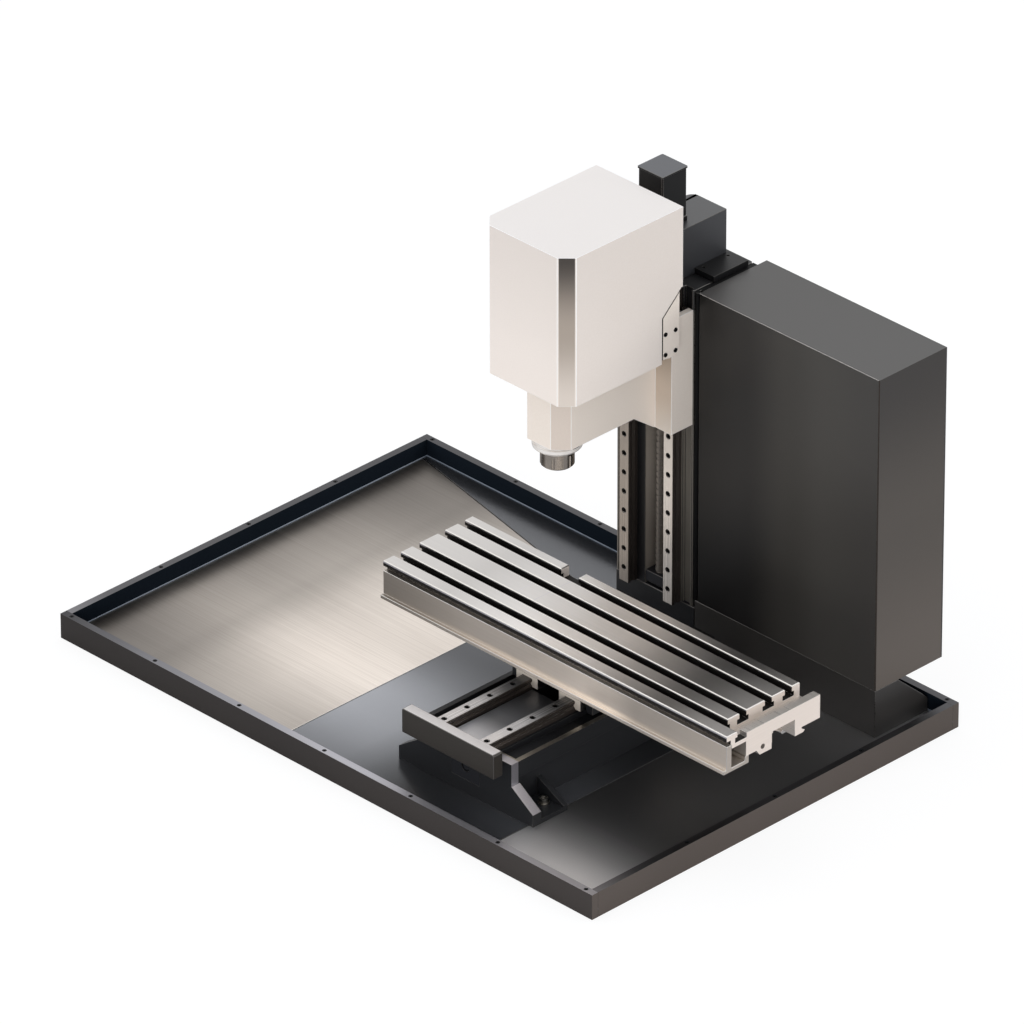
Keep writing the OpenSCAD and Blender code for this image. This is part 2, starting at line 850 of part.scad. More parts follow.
cabinet_h = cabinet_top - cabinet_z;
cabinet_back = cabinet_y + cabinet_d;
panel_holes = [for (x = [14, cabinet_l / 2, cabinet_l - 14], z = [14, cabinet_h / 2, cabinet_h - 14])
  if (x != cabinet_l / 2 || z != cabinet_h / 2) [x, z]];

module cabinet_shell() {
  color("#26272a")
    translate([cabinet_x, cabinet_y, cabinet_z])
      difference() {
        union() {
          difference() {
            linear_extrude(cabinet_h) polygon([
              [0, 1.5], [1.5, 0], [cabinet_l - 1.5, 0], [cabinet_l, 1.5],
              [cabinet_l, cabinet_d - sheet_t], [0, cabinet_d - sheet_t]
            ]);
            translate([sheet_t, sheet_t, sheet_t])
              cube([cabinet_l - 2 * sheet_t, cabinet_d, cabinet_h - 2 * sheet_t]);
          }
          for (p = panel_holes)
            translate([p[0] - 12, cabinet_d - sheet_t - 12, p[1] - 12]) cube([24, 12, 24]);
        }
        for (p = panel_holes)
          translate([p[0], cabinet_d + cut, p[1]]) rotate([90, 0, 0]) cylinder(r = 2, h = 14, $fn = 24);
      }
}

module cabinet_back_panel() {
  color("#1f2022")
    translate([cabinet_x, cabinet_back - sheet_t, cabinet_z])
      difference() {
        cube([cabinet_l, sheet_t, cabinet_h]);
        for (p = panel_holes)
          translate([p[0], sheet_t + cut, p[1]]) rotate([90, 0, 0]) cylinder(r = 2, h = sheet_t + 2 * cut, $fn = 24);
        translate([inlet_x - 14, -cut, inlet_z - 10]) cube([28, sheet_t + 2 * cut, 20]);
        for (z = [0 : 7])
          translate([cabinet_l * 0.3, -cut, cabinet_h * 0.72 + z * 9]) cube([cabinet_l * 0.4, sheet_t + 2 * cut, 4]);
      }
}
drive_pitch = cabinet_l * 0.264;
drive_w = cabinet_l * 0.172;
drive_d = cabinet_d * 0.5;
drive_h = 160;
inlet_x = 70;
inlet_z = 60;

module cabinet_screws() {
  color("#8b8884")
    for (p = panel_holes)
      translate([cabinet_x + p[0], cabinet_back, cabinet_z + p[1]]) rotate([-90, 0, 0])
        socket_screw(3.6, 2.4, 2, sheet_t + 8);
}

module drive_electronics() {
  color("#6f7378")
    translate([cabinet_x, cabinet_y + sheet_t, cabinet_z])
      union() {
        translate([20, 0, 30]) cube([cabinet_l - 40, 4, cabinet_h - 60]);
        for (i = [0 : 2])
          translate([drive_pitch * (i + 0.42), 3.5, cabinet_h - drive_h * 1.5]) {
            cube([drive_w, drive_d, drive_h]);
            for (f = [0 : 5])
              translate([drive_w * (f + 0.4) / 6, drive_d - 1, 10]) cube([drive_w / 15, 18, drive_h - 20]);
          }
        translate([45, 3.5, 60]) cube([cabinet_l - 90, 60, 130]);
      }
}

module power_inlet() {
  color("#101012")
    translate([cabinet_x + inlet_x, cabinet_back, cabinet_z + inlet_z])
      difference() {
        union() {
          translate([-20, 0, -14]) cube([40, 3, 28]);
          translate([-14, -22, -10]) cube([28, 22.5, 20]);
        }
        translate([-10.5, -14, -7]) cube([21, 20, 14]);
      }
}

// Saddle with its blocks, nuts and the table drive

module saddle_casting() {
  color("#3a3b3e")
    translate([base_x, 0, 0])
      difference() {
        union() {
          translate([-saddle_half, saddle_front, saddle_bottom])
            cube([2 * saddle_half, saddle_back - saddle_front, saddle_top - saddle_bottom]);
          translate([-saddle_half, saddle_front - saddle_lip, saddle_top - 20])
            cube([2 * saddle_half, saddle_lip + 1, 20]);
          for (s = [0, 1])
            mirror([s, 0, 0])
              translate([skirt_in, saddle_front + 8, ledge_z + 3])
                cube([skirt_out - skirt_in, saddle_back - saddle_front - 16, saddle_bottom - ledge_z - 2]);
          translate([-nut_lug_half, saddle_c - nut_lug_l / 2, trough_z + 3])
            cube([2 * nut_lug_half, nut_lug_l, saddle_bottom - trough_z - 2]);
        }
        translate([0, saddle_c - nut_lug_l, y_screw_z]) rotate([-90, 0, 0]) cylinder(r = nut_r, h = 2 * nut_lug_l);
        for (s = [-1, 1])
          translate([s * saddle_half * 0.72 - 14, saddle_c - 16, saddle_bottom + 8])
            cube([28, 32, saddle_top]);
      }
}

module y_blocks() {
  color("#8d8a86")
    for (s = [-1, 1], y = [-1, 1])
      at_base_rail(s) translate([0, 0, saddle_c + y * y_block_half - block_l / 2 - rail_front_y]) rail_block(block_l);
}

module y_ball_nut() {
  color("#9a9792")
    translate([base_x, saddle_c - nut_lug_l / 2 - 8, y_screw_z]) rotate([-90, 0, 0])
      difference() {
        union() {
          cylinder(r = nut_r, h = nut_lug_l + 8);
          cylinder(r = nut_r + 6, h = 8);
        }
        translate([0, 0, -cut]) cylinder(r = screw_r + run_gap, h = nut_lug_l + 20);
      }
}

module x_blocks() {
  color("#8d8a86")
    for (i = [0, 1], s = [-1, 1])
      at_table_rail(i)
        translate([0, 0, base_x - table_x + table_l / 2 + s * x_block_half - block_l / 2]) rail_block(block_l);
}

module x_motor() {
  v = table_front + x_screw_v;
  r = x_drive_w / 2;
  color("#202124")
    translate([base_x - x_drive_l / 2, v, x_screw_z])
      difference() {
        union() {
          translate([0, -r, -r]) cube([x_drive_l, 2 * r, 2 * r]);
          translate([6, -r, saddle_top - x_screw_z]) cube([x_drive_l - 12, 2 * r, x_screw_z - saddle_top]);
        }
        translate([-cut, 0, 0]) rotate([0, 90, 0]) cylinder(r = nut_r + run_gap, h = x_drive_l + 2 * cut);
      }
}

module x_ball_nut() {
  color("#9a9792")
    translate([base_x - x_drive_l / 2 - 4, table_front + x_screw_v, x_screw_z]) rotate([0, 90, 0])
      difference() {
        union() {
          cylinder(r = nut_r, h = x_drive_l + 8);
          for (z = [0, x_drive_l + 4.3])
            translate([0, 0, z]) cylinder(r = nut_r + 2, h = 3.7);
        }
        translate([0, 0, -cut]) cylinder(r = screw_r + run_gap, h = x_drive_l + 20);
      }
}

// Table

module slot_cut(c, l) {
  translate([-cut, c - slot_w / 2, table_z - slot_neck - cut]) cube([l + 2 * cut, slot_w, slot_neck + 2 * cut]);
  translate([-cut, c - slot_wide / 2, table_z - slot_d]) cube([l + 2 * cut, slot_wide, slot_d - slot_neck]);
}

// The pads under the right end, seen from it: a tapered one in front, a dovetailed one behind
pad_low = body_bottom - 9.5;
front_pad = [
  [x_rail_c[0] - 22, body_bottom + 1],
  [x_rail_c[0] - 14, pad_low],
  [x_rail_c[0] + rail_w / 2, pad_low],
  [x_rail_c[0] + rail_w / 2, body_bottom + 1]
];
rear_pad = [
  [x_rail_c[1] - rail_w / 2, body_bottom + 1],
  [x_rail_c[1] - rail_w / 2, pad_low],
  [x_rail_c[1] + 7, pad_low],
  [x_rail_c[1] + 10.5, pad_low + 3],
  [x_rail_c[1] + 4, body_bottom - 2.5],
  [x_rail_c[1] + 4, body_bottom + 1]
];

module table_casting() {
  color("#b9b5b0")
    translate([table_x - table_l / 2, table_front, 0])
      difference() {
        union() {
          translate([0, body_front, body_bottom]) cube([table_l, table_w - body_front, table_z - body_bottom]);
          translate([0, channel_t, table_z - slot_d - slab_t])
            cube([table_l, body_front, slot_d + slab_t - slot_neck]);
          translate([0, groove_d, table_z - slot_d])
            cube([table_l, channel_t, slot_d - slot_neck + 1]);
          translate([0, 0, table_z - slot_neck]) cube([table_l, body_front + 1, slot_neck]);
          for (u = [table_l / 2 - web_u - web_t, table_l / 2 + web_u])
            translate([u, x_screw_v - tunnel_half, x_screw_z - 15])
              cube([web_t, 2 * tunnel_half, tunnel_roof - x_screw_z + 16]);
          translate([table_l - gutter_rim, body_front, body_bottom])
            cube([gutter_rim, end_rim_w - body_front, end_rim_z - body_bottom]);
          translate([table_l - end_pad, 0, 0]) rotate([90, 0, 90]) linear_extrude(end_pad) polygon(front_pad);
          translate([table_l - rail_inset, 0, 0]) rotate([90, 0, 90]) linear_extrude(rail_inset) polygon(rear_pad);
        }
        for (c = slot_c)
          slot_cut(c, table_l - (c > body_front ? gutter_rim + 2 : 0));
        translate([table_l - gutter_l, strip_1, gutter_z]) cube([gutter_l - gutter_rim, table_w, table_z]);
        translate([table_l - gutter_rim - 1, strip_1, end_rim_z]) cube([gutter_rim + 2, table_w, table_z]);
        translate([table_l - gutter_l, strip_1, table_z - slot_neck - 0.01])
          cube([gutter_l + 1, body_front - strip_1 + 0.5, table_z]);
        translate([table_l / 2 + notch_u[0], slot_c[3], table_z - slot_d])
          cube([notch_u[1] - notch_u[0], table_w, slot_d + 1]);
        difference() {
          translate([-cut, x_screw_v - tunnel_half, body_bottom - cut])
            cube([table_l + 2 * cut, 2 * tunnel_half, tunnel_roof - body_bottom + cut]);
          for (u = [table_l / 2 - web_u - web_t, table_l / 2 + web_u])
            translate([u, 0, 0]) cube([web_t, table_w, table_z]);
        }
        translate([-cut, x_screw_v, x_screw_z]) rotate([0, 90, 0]) cylinder(r = screw_r, h = table_l + 2 * cut);
        translate([table_l - end_pad - cut, x_rail_c[0] - 8, body_bottom + 2]) rotate([0, 90, 0])
          cylinder(r = 4, h = end_pad + 2 * cut);
      }
}

module table_front_channel() {
  color("#958d87")
    translate([table_x - table_l / 2, table_front, 0]) rotate([90, 0, 90]) linear_extrude(table_l) polygon([
      [-channel_lip, channel_bottom],
      [channel_reach, channel_bottom],
      [channel_reach, body_bottom],
      [channel_reach - 8, body_bottom],
      [channel_reach - 8, channel_bottom + channel_flange_t],
      [channel_t, channel_bottom + channel_flange_t],
      [channel_t, table_z - slot_d],
      [0, table_z - slot_d],
      [0, channel_bottom + channel_flange_t],
      [-channel_lip, channel_bottom + channel_flange_t]
    ]);
}

module x_rail_front() {
  color("#bdb9b5") at_table_rail(0) rail(table_l - rail_inset);
}

module x_rail_rear() {
  color("#bdb9b5") at_table_rail(1) rail(table_l - rail_inset);
}

module x_screw() {
  color("#b3afaa")
    translate([table_x - web_u - web_t, table_front + x_screw_v, x_screw_z]) rotate([0, 90, 0])
      cylinder(r = screw_r, h = 2 * (web_u + web_t));
}

// Head

arm_plan = [
  [arm_half, carriage_front + 1],
  [arm_half, arm_front + arm_chamfer],
  [arm_half - arm_chamfer, arm_front],
  [arm_chamfer - arm_half, arm_front],
  [-arm_half, arm_front + arm_chamfer],
  [-arm_half, carriage_front + 1]
];

module head_casting() {
  color("#dfd8cf")
    translate([column_x, 0, 0])
      difference() {
        union() {
          translate([-carriage_half, carriage_front, carriage_z]) cube([2 * carriage_half, face_y - carriage_front, carriage_h]);
          for (s = [0, 1])
            mirror([s, 0, 0])
              translate([carriage_half - 9.5, face_y - 1, carriage_z]) cube([9.5, carriage_back - face_y + 1, carriage_h]);
          translate([0, 0, arm_z]) linear_extrude(arm_top - arm_z) polygon(arm_plan);
          rotate([90, 0, 90]) translate([0, 0, -arm_half]) linear_extrude(2 * arm_half) polygon([
            [carriage_front - 45, arm_z + 1],
            [carriage_front + 1, arm_z + 1],
            [carriage_front + 1, carriage_z],
            [carriage_front - 1, carriage_z]
          ]);
          translate([-arm_half - 3, motor_y - motor_w / 2 - 5, shelf_under])
            cube([2 * arm_half + 6, carriage_front - motor_y + motor_w / 2 + 6, shelf_t]);
          for (s = [0, 1])
            mirror([s, 0, 0])
              translate([arm_half - 8, motor_y - motor_w / 2 - 5, arm_top - 1])
                cube([8, carriage_front - motor_y + motor_w / 2 + 6, shelf_under - arm_top + 2]);
          translate([-nut_bracket_half, face_y - 1, carriage_z + carriage_h / 2 - 25])
            cube([2 * nut_bracket_half, z_screw_y - face_y + 16, 50]);
        }
        translate([0, spindle_y, arm_z - cut]) cylinder(r = cartridge_r, h = arm_top - arm_z + 2 * cut);
        translate([0, motor_y, shelf_under - cut]) cylinder(r = 22, h = shelf_t + 2 * cut);
        translate([0, z_screw_y, carriage_z]) cylinder(r = nut_r, h = carriage_h);
      }
}

z_block_z = [carriage_z + 7.5, carriage_top - 7.5 - z_block_l];

module z_blocks() {
  color("#8d8a86")
    for (s = [-1, 1], z = z_block_z)
      at_column_rail(s) translate([0, 0, z - column_foot_z]) rail_block(z_block_l);
}

module z_ball_nut() {
  z0 = carriage_z + carriage_h / 2 - 25;
  color("#9a9792")
    translate([column_x, z_screw_y, z0 - 7])
      difference() {
        union() {
          cylinder(r = nut_r, h = 57);
          cylinder(r = nut_r + 3, h = 7);
        }
        translate([0, 0, -cut]) cylinder(r = screw_r + run_gap, h = 70);
      }
}

function cover_plan(t) = [
  [cover_half - t, cover_back - t],
  [cover_half - t, cover_front + cover_chamfer + t * 0.41],
  [cover_half - cover_chamfer - t * 0.41, cover_front + t],
  [-cover_half + cover_chamfer + t * 0.41, cover_front + t],
  [-cover_half + t, cover_front + cover_chamfer + t * 0.41],
  [-cover_half + t, cover_back - t]
];

module head_cover() {
  color("#e9e4dc")
    translate([column_x, 0, 0])
      difference() {
        translate([0, 0, cover_z]) linear_extrude(cover_h) polygon(cover_plan(0));
        translate([0, 0, cover_z - cut]) linear_extrude(cover_h - cover_t + cut) polygon(cover_plan(cover_t));
        rotate([90, 0, 90]) translate([0, 0, -cover_half - cut]) linear_extrude(2 * cover_half + 2 * cut) polygon([
          [cover_notch_y, cover_z - cut],
          [cover_back + cut, cover_z - cut],
          [cover_back + cut, cover_notch_z + cover_slant],
          [cover_back - 3, cover_notch_z + cover_slant],
          [cover_notch_y, cover_notch_z]
        ]);
      }
}

bracket_holes = [
  [cover_notch_y + 8.5, cover_z + 45.5],
  [cover_notch_y + 29, cover_z + 45.5],
  [cover_notch_y + 8.5, cover_z + 12],
  [cover_notch_y + 29, cover_z + 12]
];

module bracket_plate() {
  difference() {
    rotate([90, 0, 90]) linear_extrude(bracket_out - carriage_half) polygon([
      [bracket_front, cover_z + bracket_low + 3],
      [cover_notch_y, cover_z + bracket_low + 3],
      [cover_notch_y + 18, cover_z + bracket_low],
      [bracket_back, cover_z + bracket_low + 4],
      [bracket_back, cover_z + bracket_top],
      [cover_notch_y + 2, cover_notch_z],
      [bracket_front, cover_notch_z]
    ]);
    for (p = bracket_holes)
      translate([-cut, p[0], p[1]]) rotate([0, 90, 0]) cylinder(r = 2.2, h = 20, $fn = 24);
  }
}

module cover_brackets() {
  color("#ddd6cc")
    for (s = [0, 1])
      translate([column_x, 0, 0]) mirror([s, 0, 0]) translate([carriage_half, 0, 0]) bracket_plate();
}

module bracket_screws() {
  color("#2b2a29")
    for (s = [0, 1])
      translate([column_x, 0, 0]) mirror([s, 0, 0])
        for (p = bracket_holes)
          translate([bracket_out, p[0], p[1]]) rotate([0, 90, 0]) socket_screw(3.4, 1.6, 2.2, bracket_out - carriage_half);
}

// Spindle, its motor and belt

module spindle_housing() {
  color("#a9a5a0")
    translate([column_x, spindle_y, 0])
      difference() {
        rotate_extrude() polygon([
          [0, flange_z],
          [flange_r - 3, flange_z],
          [flange_r, flange_z + 3],
          [flange_r, flange_z + 9],
          [flange_r - 2, flange_z + 10],
          [flange_r - 2, arm_z],
          [cartridge_r, arm_z],
          [cartridge_r, arm_top - 2],
          [0, arm_top - 2]
        ]);
        translate([0, 0, flange_z - cut]) cylinder(r = shaft_r + run_gap, h = 200);
        translate([0, 0, flange_z - cut]) cylinder(r = nose_r + 1, h = 5 + cut);
      }
}

module spindle_motor() {
  m = motor_w / 2;
  color("#2a2b2d")
    translate([column_x, motor_y, carriage_top])
      difference() {
        union() {
          linear_extrude(10) polygon([
            [m, m - 6], [m - 6, m], [6 - m, m], [-m, m - 6],
            [-m, 6 - m], [6 - m, -m], [m - 6, -m], [m, 6 - m]
          ]);
          translate([0, 0, 9]) cylinder(r = m - 2, h = motor_l - 18);
          translate([0, 0, motor_l - 10]) cylinder(r = m - 5, h = 10);
        }
        translate([0, 0, -cut]) cylinder(r = motor_shaft_r + run_gap, h = 30, $fn = 32);
      }
}

module belt_outline(g) {
  hull() {
    circle(r = spindle_pulley_r - belt_inset + g, $fn = 48);
    translate([0, motor_y - spindle_y]) circle(r = motor_pulley_r - belt_inset + g, $fn = 48);
  }
}

module spindle_belt() {
  color("#1c1c1e")
    translate([column_x, spindle_y, pulley_z + 3.5])
      linear_extrude(pulley_h - 7)
        difference() {
          belt_outline(belt_gap + belt_t);
          belt_outline(belt_gap);
        }
}

module flanged_pulley(r) {
  rotate_extrude() polygon([
    [0, 0],
    [r, 0],
    [r, 2.5],
    [r - belt_inset, 3],
    [r - belt_inset, pulley_h - 3],
    [r, pulley_h - 2.5],
    [r, pulley_h],
    [0, pulley_h]
  ]);
}

module motor_pulley() {
  color("#9c9893")
    translate([column_x, motor_y, pulley_z]) {
      flanged_pulley(motor_pulley_r);
      translate([0, 0, pulley_h - 1]) cylinder(r = motor_shaft_r, h = carriage_top + 25 - pulley_z - pulley_h, $fn = 32);
    }
}

module spindle_pulley() {
  color("#9c9893")
    translate([column_x, spindle_y, pulley_z])
      difference() {
        flanged_pulley(spindle_pulley_r);
        translate([0, 0, -cut]) cylinder(r = shaft_r - 3, h = pulley_h + 2 * cut);
      }
}

shaft_low = flange_z - nose_h;
collet_top = shaft_low + 30;

module spindle_shaft() {
  color("#c6c3bf")
    translate([column_x, spindle_y, 0])
      difference() {
        rotate_extrude() polygon([
          [0, shaft_low],
          [nose_r, shaft_low],
          [nose_r, flange_z + 4],
          [shaft_r, flange_z + 4],
          [shaft_r, arm_top],
          [shaft_r - 3, arm_top + 2],
          [shaft_r - 3, pulley_z + pulley_h + 4],
          [0, pulley_z + pulley_h + 4]
        ]);
        rotate_extrude() polygon([
          [0, shaft_low - cut],
          [13.2, shaft_low - cut],
          [9, collet_top],
          [0, collet_top]
        ]);
        translate([0, 0, collet_top - cut]) cylinder(r = tool_r + 1, h = 200, $fn = 32);
      }
}

module collet_nut() {
  color("#d2cfcb")
    translate([column_x, spindle_y, 0])
      difference() {
        rotate_extrude() polygon([
          [13.5, collet_nut_z],
          [collet_nut_r - 2.5, collet_nut_z],
          [collet_nut_r, collet_nut_z + 2.5],
          [collet_nut_r, flange_z - 3],
          [collet_nut_r - 1.5, flange_z - 1.5],
          [nose_r, flange_z - 1.5],
          [nose_r, shaft_low],
          [13.5, shaft_low]
        ]);
        for (a = [0 : 60 : 359])
          rotate([0, 0, a]) translate([collet_nut_r + 1.2, 0, collet_nut_z - cut])
            cylinder(r = 3, h = nut_h - 8, $fn = 24);
      }
}

module collet() {
  color("#b5b1ac")
    translate([column_x, spindle_y, 0])
      difference() {
        rotate_extrude() polygon([
          [0, collet_nut_z - 1],
          [11.5, collet_nut_z - 1],
          [13, collet_nut_z + 1],
          [13, shaft_low],
          [9, collet_top - 1],
          [0, collet_top - 1]
        ]);
        translate([0, 0, collet_nut_z - 2]) cylinder(r = tool_r, h = 100, $fn = 48);
      }
}

tray_floor();
tray_rim();
rim_screws();
deck_plate_steel();
deck_plate_centre();
deck_plate_right();
base_casting();
foot_bolts();
front_bar();
y_rail_left();
y_rail_right();
rail_screws();
y_screw_bearings();
y_motor();
screw_cover();
bridge_foot();
y_screw();
y_coupling();
column_base();
cabinet_stand();
column();
side_strip();
z_rail_left();
z_rail_right();
z_screw_bearings();
z_motor();
motor_housing();
cable_cover();
z_screw();
z_coupling();
cabinet_shell();
cabinet_back_panel();
cabinet_screws();
drive_electronics();
power_inlet();
saddle_casting();
y_blocks();
y_ball_nut();
x_blocks();
x_motor();
x_ball_nut();
table_casting();
table_front_channel();
x_rail_front();
x_rail_rear();
x_screw();
head_casting();
z_blocks();
z_ball_nut();
head_cover();
cover_brackets();
bracket_screws();
spindle_housing();
spindle_motor();
spindle_belt();
motor_pulley();
spindle_shaft();
spindle_pulley();
collet_nut();
collet();
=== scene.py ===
# %% [markdown]
# # A bench milling machine, dressed for the camera
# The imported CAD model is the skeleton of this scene. It already has every part of the machine at its
# true size and place, in metres. This script gives those parts their finishes, rounds the edges that a
# real workshop would break, and models the small pieces that a plain solid leaves out.

import json
import math

import bpy
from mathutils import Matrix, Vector


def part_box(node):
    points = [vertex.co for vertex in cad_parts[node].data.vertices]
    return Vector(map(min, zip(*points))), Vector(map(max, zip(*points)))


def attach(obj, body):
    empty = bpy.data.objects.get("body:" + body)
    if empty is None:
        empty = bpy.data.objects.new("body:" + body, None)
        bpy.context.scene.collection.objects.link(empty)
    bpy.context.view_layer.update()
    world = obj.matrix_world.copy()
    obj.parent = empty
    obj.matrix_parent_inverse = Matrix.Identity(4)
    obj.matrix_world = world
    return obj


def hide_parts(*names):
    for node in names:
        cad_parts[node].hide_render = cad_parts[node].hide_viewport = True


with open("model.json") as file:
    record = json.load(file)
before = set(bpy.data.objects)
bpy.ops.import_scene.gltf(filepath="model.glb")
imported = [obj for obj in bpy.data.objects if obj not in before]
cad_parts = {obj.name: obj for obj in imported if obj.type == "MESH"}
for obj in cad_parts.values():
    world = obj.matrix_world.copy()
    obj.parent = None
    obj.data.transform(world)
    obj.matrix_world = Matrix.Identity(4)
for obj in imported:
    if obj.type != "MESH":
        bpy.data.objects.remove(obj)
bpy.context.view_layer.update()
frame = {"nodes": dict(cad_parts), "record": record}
bpy.ops.object.select_all(action="DESELECT")
scene = bpy.context.scene

# %% [markdown]
# ## The camera
# The picture was taken from the machine's front right with a very long lens, so parallel edges stay
# almost parallel. The three angles and the lens come from fitting a pinhole camera to the tray's and
# the cabinet's corners.

# %% Camera at the photograph's angle
CAMERA_PLACE = (11.47966, -11.30752, 9.65398)
CAMERA_TURN = (59.82706, 0.10055, 45.34684)  # degrees about X, Y and Z
LENS, SENSOR = 453.839, 36.0  # millimetres
NEAREST, FARTHEST = 1.0, 60.0  # metres that the camera sees

bpy.ops.object.camera_add(location=CAMERA_PLACE, rotation=[math.radians(a) for a in CAMERA_TURN])
camera = bpy.context.active_object
camera.name = "camera"
camera.data.sensor_fit = "HORIZONTAL"
camera.data.sensor_width = SENSOR
camera.data.lens = LENS
camera.data.clip_start, camera.data.clip_end = NEAREST, FARTHEST
scene.camera = camera
print("camera at", tuple(round(v, 3) for v in camera.location))

# %% [markdown]
# ## Studio
# A dark, glossy machine shows its lamps. Three tall soft boxes stand at its left, at its right and low
# in front, so its upright faces are lit. Their mirror images would lie as hard bright bars on the
# ground steel, so they light the parts but aren't reflected in them. A fourth box hangs above, and that
# one may be mirrored, as the ceiling of a real studio is. No lamp shows itself to the camera.

# %% Four soft boxes
WARM = (1.0, 0.985, 0.965)
WARMER = (1.0, 0.98, 0.96)
NEUTRAL = (1.0, 1.0, 1.0)


def soft_box(name, place, target, size, power, tint, mirrored):
    """A rectangular lamp at a place, turned to a target; power is in watts."""
    bpy.ops.object.light_add(type="AREA", location=place)
    lamp = bpy.context.active_object
    lamp.name = name
    lamp.data.shape = "RECTANGLE"
    lamp.data.size, lamp.data.size_y = size
    lamp.data.energy = power
    lamp.data.color = tint
    lamp.rotation_euler = (Vector(target) - Vector(place)).to_track_quat("-Z", "Y").to_euler()
    lamp.visible_camera = False
    lamp.visible_glossy = mirrored


soft_box("box_left", (-2.6, -2.6, 0.9), (0.0, 0.0, 0.3), (2.6, 1.8), 26.0, WARM, False)
soft_box("box_right", (2.8, 1.6, 0.8), (0.1, 0.1, 0.3), (2.6, 1.6), 20.0, WARM, False)
soft_box("box_low", (2.4, -2.4, 0.5), (0.0, 0.0, 0.3), (2.6, 1.0), 30.0, WARMER, False)
soft_box("box_top", (-0.6, 0.5, 3.2), (0.0, 0.0, 0.0), (2.4, 2.4), 14.0, NEUTRAL, True)

# %% [markdown]
# Every finish below is a small tree of nodes, so two helpers come first: one fills a node's inputs,
# and one adds a node and fills it. The world is the first tree. It is white where the camera or a
# mirror looks at it and a little dimmer and cooler where it only fills the shadows.

# %% Node helpers and the world
WHITE, COOL, FILL = (1.0, 1.0, 1.0, 1.0), (0.93, 0.95, 1.0, 1.0), 0.74
FACTOR, FLOAT_A, FLOAT_B, COLOR_A, COLOR_B = 0, 2, 3, 6, 7  # the inputs of a Mix node, by number
FLOAT_OUT, COLOR_OUT = 0, 2  # and its outputs


def feed(tree, node, inputs):
    """Fills a node's inputs: a socket is linked, a plain value is written in."""
    for name, source in inputs.items():
        if isinstance(source, bpy.types.NodeSocket):
            tree.links.new(source, node.inputs[name])
        else:
            node.inputs[name].default_value = source


def add(tree, kind, inputs=None, **settings):
    """Adds a node with its settings, such as an operation, and then fills its inputs."""
    node = tree.nodes.new(kind)
    for key, value in settings.items():
        setattr(node, key, value)
    feed(tree, node, inputs or {})
    return node


world = bpy.data.worlds.new("studio")
scene.world = world
world.use_nodes = True
sky = world.node_tree
sky.nodes.clear()
rays = add(sky, "ShaderNodeLightPath").outputs
direct = add(sky, "ShaderNodeMath", {0: rays["Is Camera Ray"], 1: rays["Is Transmission Ray"]},
             operation="MAXIMUM")
seen = add(sky, "ShaderNodeMath", {0: direct.outputs[0], 1: rays["Is Glossy Ray"]}, operation="MAXIMUM")
fill = add(sky, "ShaderNodeBackground", {"Color": COOL, "Strength": FILL})
white = add(sky, "ShaderNodeBackground", {"Color": WHITE, "Strength": 1.0})
mixed = add(sky, "ShaderNodeMixShader", {0: seen.outputs[0], 1: fill.outputs[0], 2: white.outputs[0]})
add(sky, "ShaderNodeOutputWorld", {"Surface": mixed.outputs[0]})
scene.view_settings.view_transform = "Standard"
print("world nodes:", len(sky.nodes))

# %% [markdown]
# ## Shared effects
# Three effects come back in almost every finish, so each is built once as a node group: fine grain,
# the long streaks of a brush or a grinding wheel, and slow cloudy patches. Each reads Object
# coordinates, so a pattern stays on its part when the part moves.

# %% Three noise patterns as node groups
def socket(group, name, kind, way, value=None):
    made = group.interface.new_socket(name=name, in_out=way, socket_type=kind)
    if value is not None:
        made.default_value = value


def noise_group(name, scale, detail, low, high):
    """A noise pattern, stretched by a vector, that runs from 0 to 1 between two levels."""
    group = bpy.data.node_groups.new(name, "ShaderNodeTree")
    socket(group, "Stretch", "NodeSocketVector", "INPUT", (1.0, 1.0, 1.0))
    socket(group, "Scale", "NodeSocketFloat", "INPUT", scale)
    socket(group, "Value", "NodeSocketFloat", "OUTPUT")
    inside = add(group, "NodeGroupInput").outputs
    place = add(group, "ShaderNodeTexCoord").outputs["Object"]
    mapping = add(group, "ShaderNodeMapping", {"Vector": place, "Scale": inside["Stretch"]})
    noise = add(group, "ShaderNodeTexNoise", {"Vector": mapping.outputs["Vector"],
                                              "Scale": inside["Scale"], "Detail": detail})
    levels = add(group, "ShaderNodeMapRange", {"Value": noise.outputs["Fac"],
                                               "From Min": low, "From Max": high})
    add(group, "NodeGroupOutput", {"Value": levels.outputs["Result"]})
    return group


GRAIN = noise_group("fine_grain", 900.0, 2.0, 0.32, 0.68)
STREAKS = noise_group("streaks", 1.0, 3.0, 0.28, 0.72)
CLOUDS = noise_group("clouds", 3.0, 3.0, 0.3, 0.7)
print("node groups:", [g.name for g in bpy.data.node_groups])

# %% [markdown]
# ## Finishes
# Every finish is a Principled shader whose colour and roughness run between two values. What moves
# them is the mix of one fine pattern and one cloudy one: the fine pattern is round grain on paint and
# long streaks on brushed or ground metal. A little of the fine pattern also goes into a bump. Painted
# textures would do this too, but patterns made by nodes stay sharp from any distance.

# %% One function that makes a finish
RELIEF = 0.0002  # metres between the fine pattern's low and high places


def linear(code):
    """A colour written as six hexadecimal digits, as the shader wants it."""
    parts = [int(code[i:i + 2], 16) / 255 for i in (0, 2, 4)]
    return tuple(p / 12.92 if p <= 0.04045 else ((p + 0.055) / 1.055) ** 2.4 for p in parts) + (1.0,)


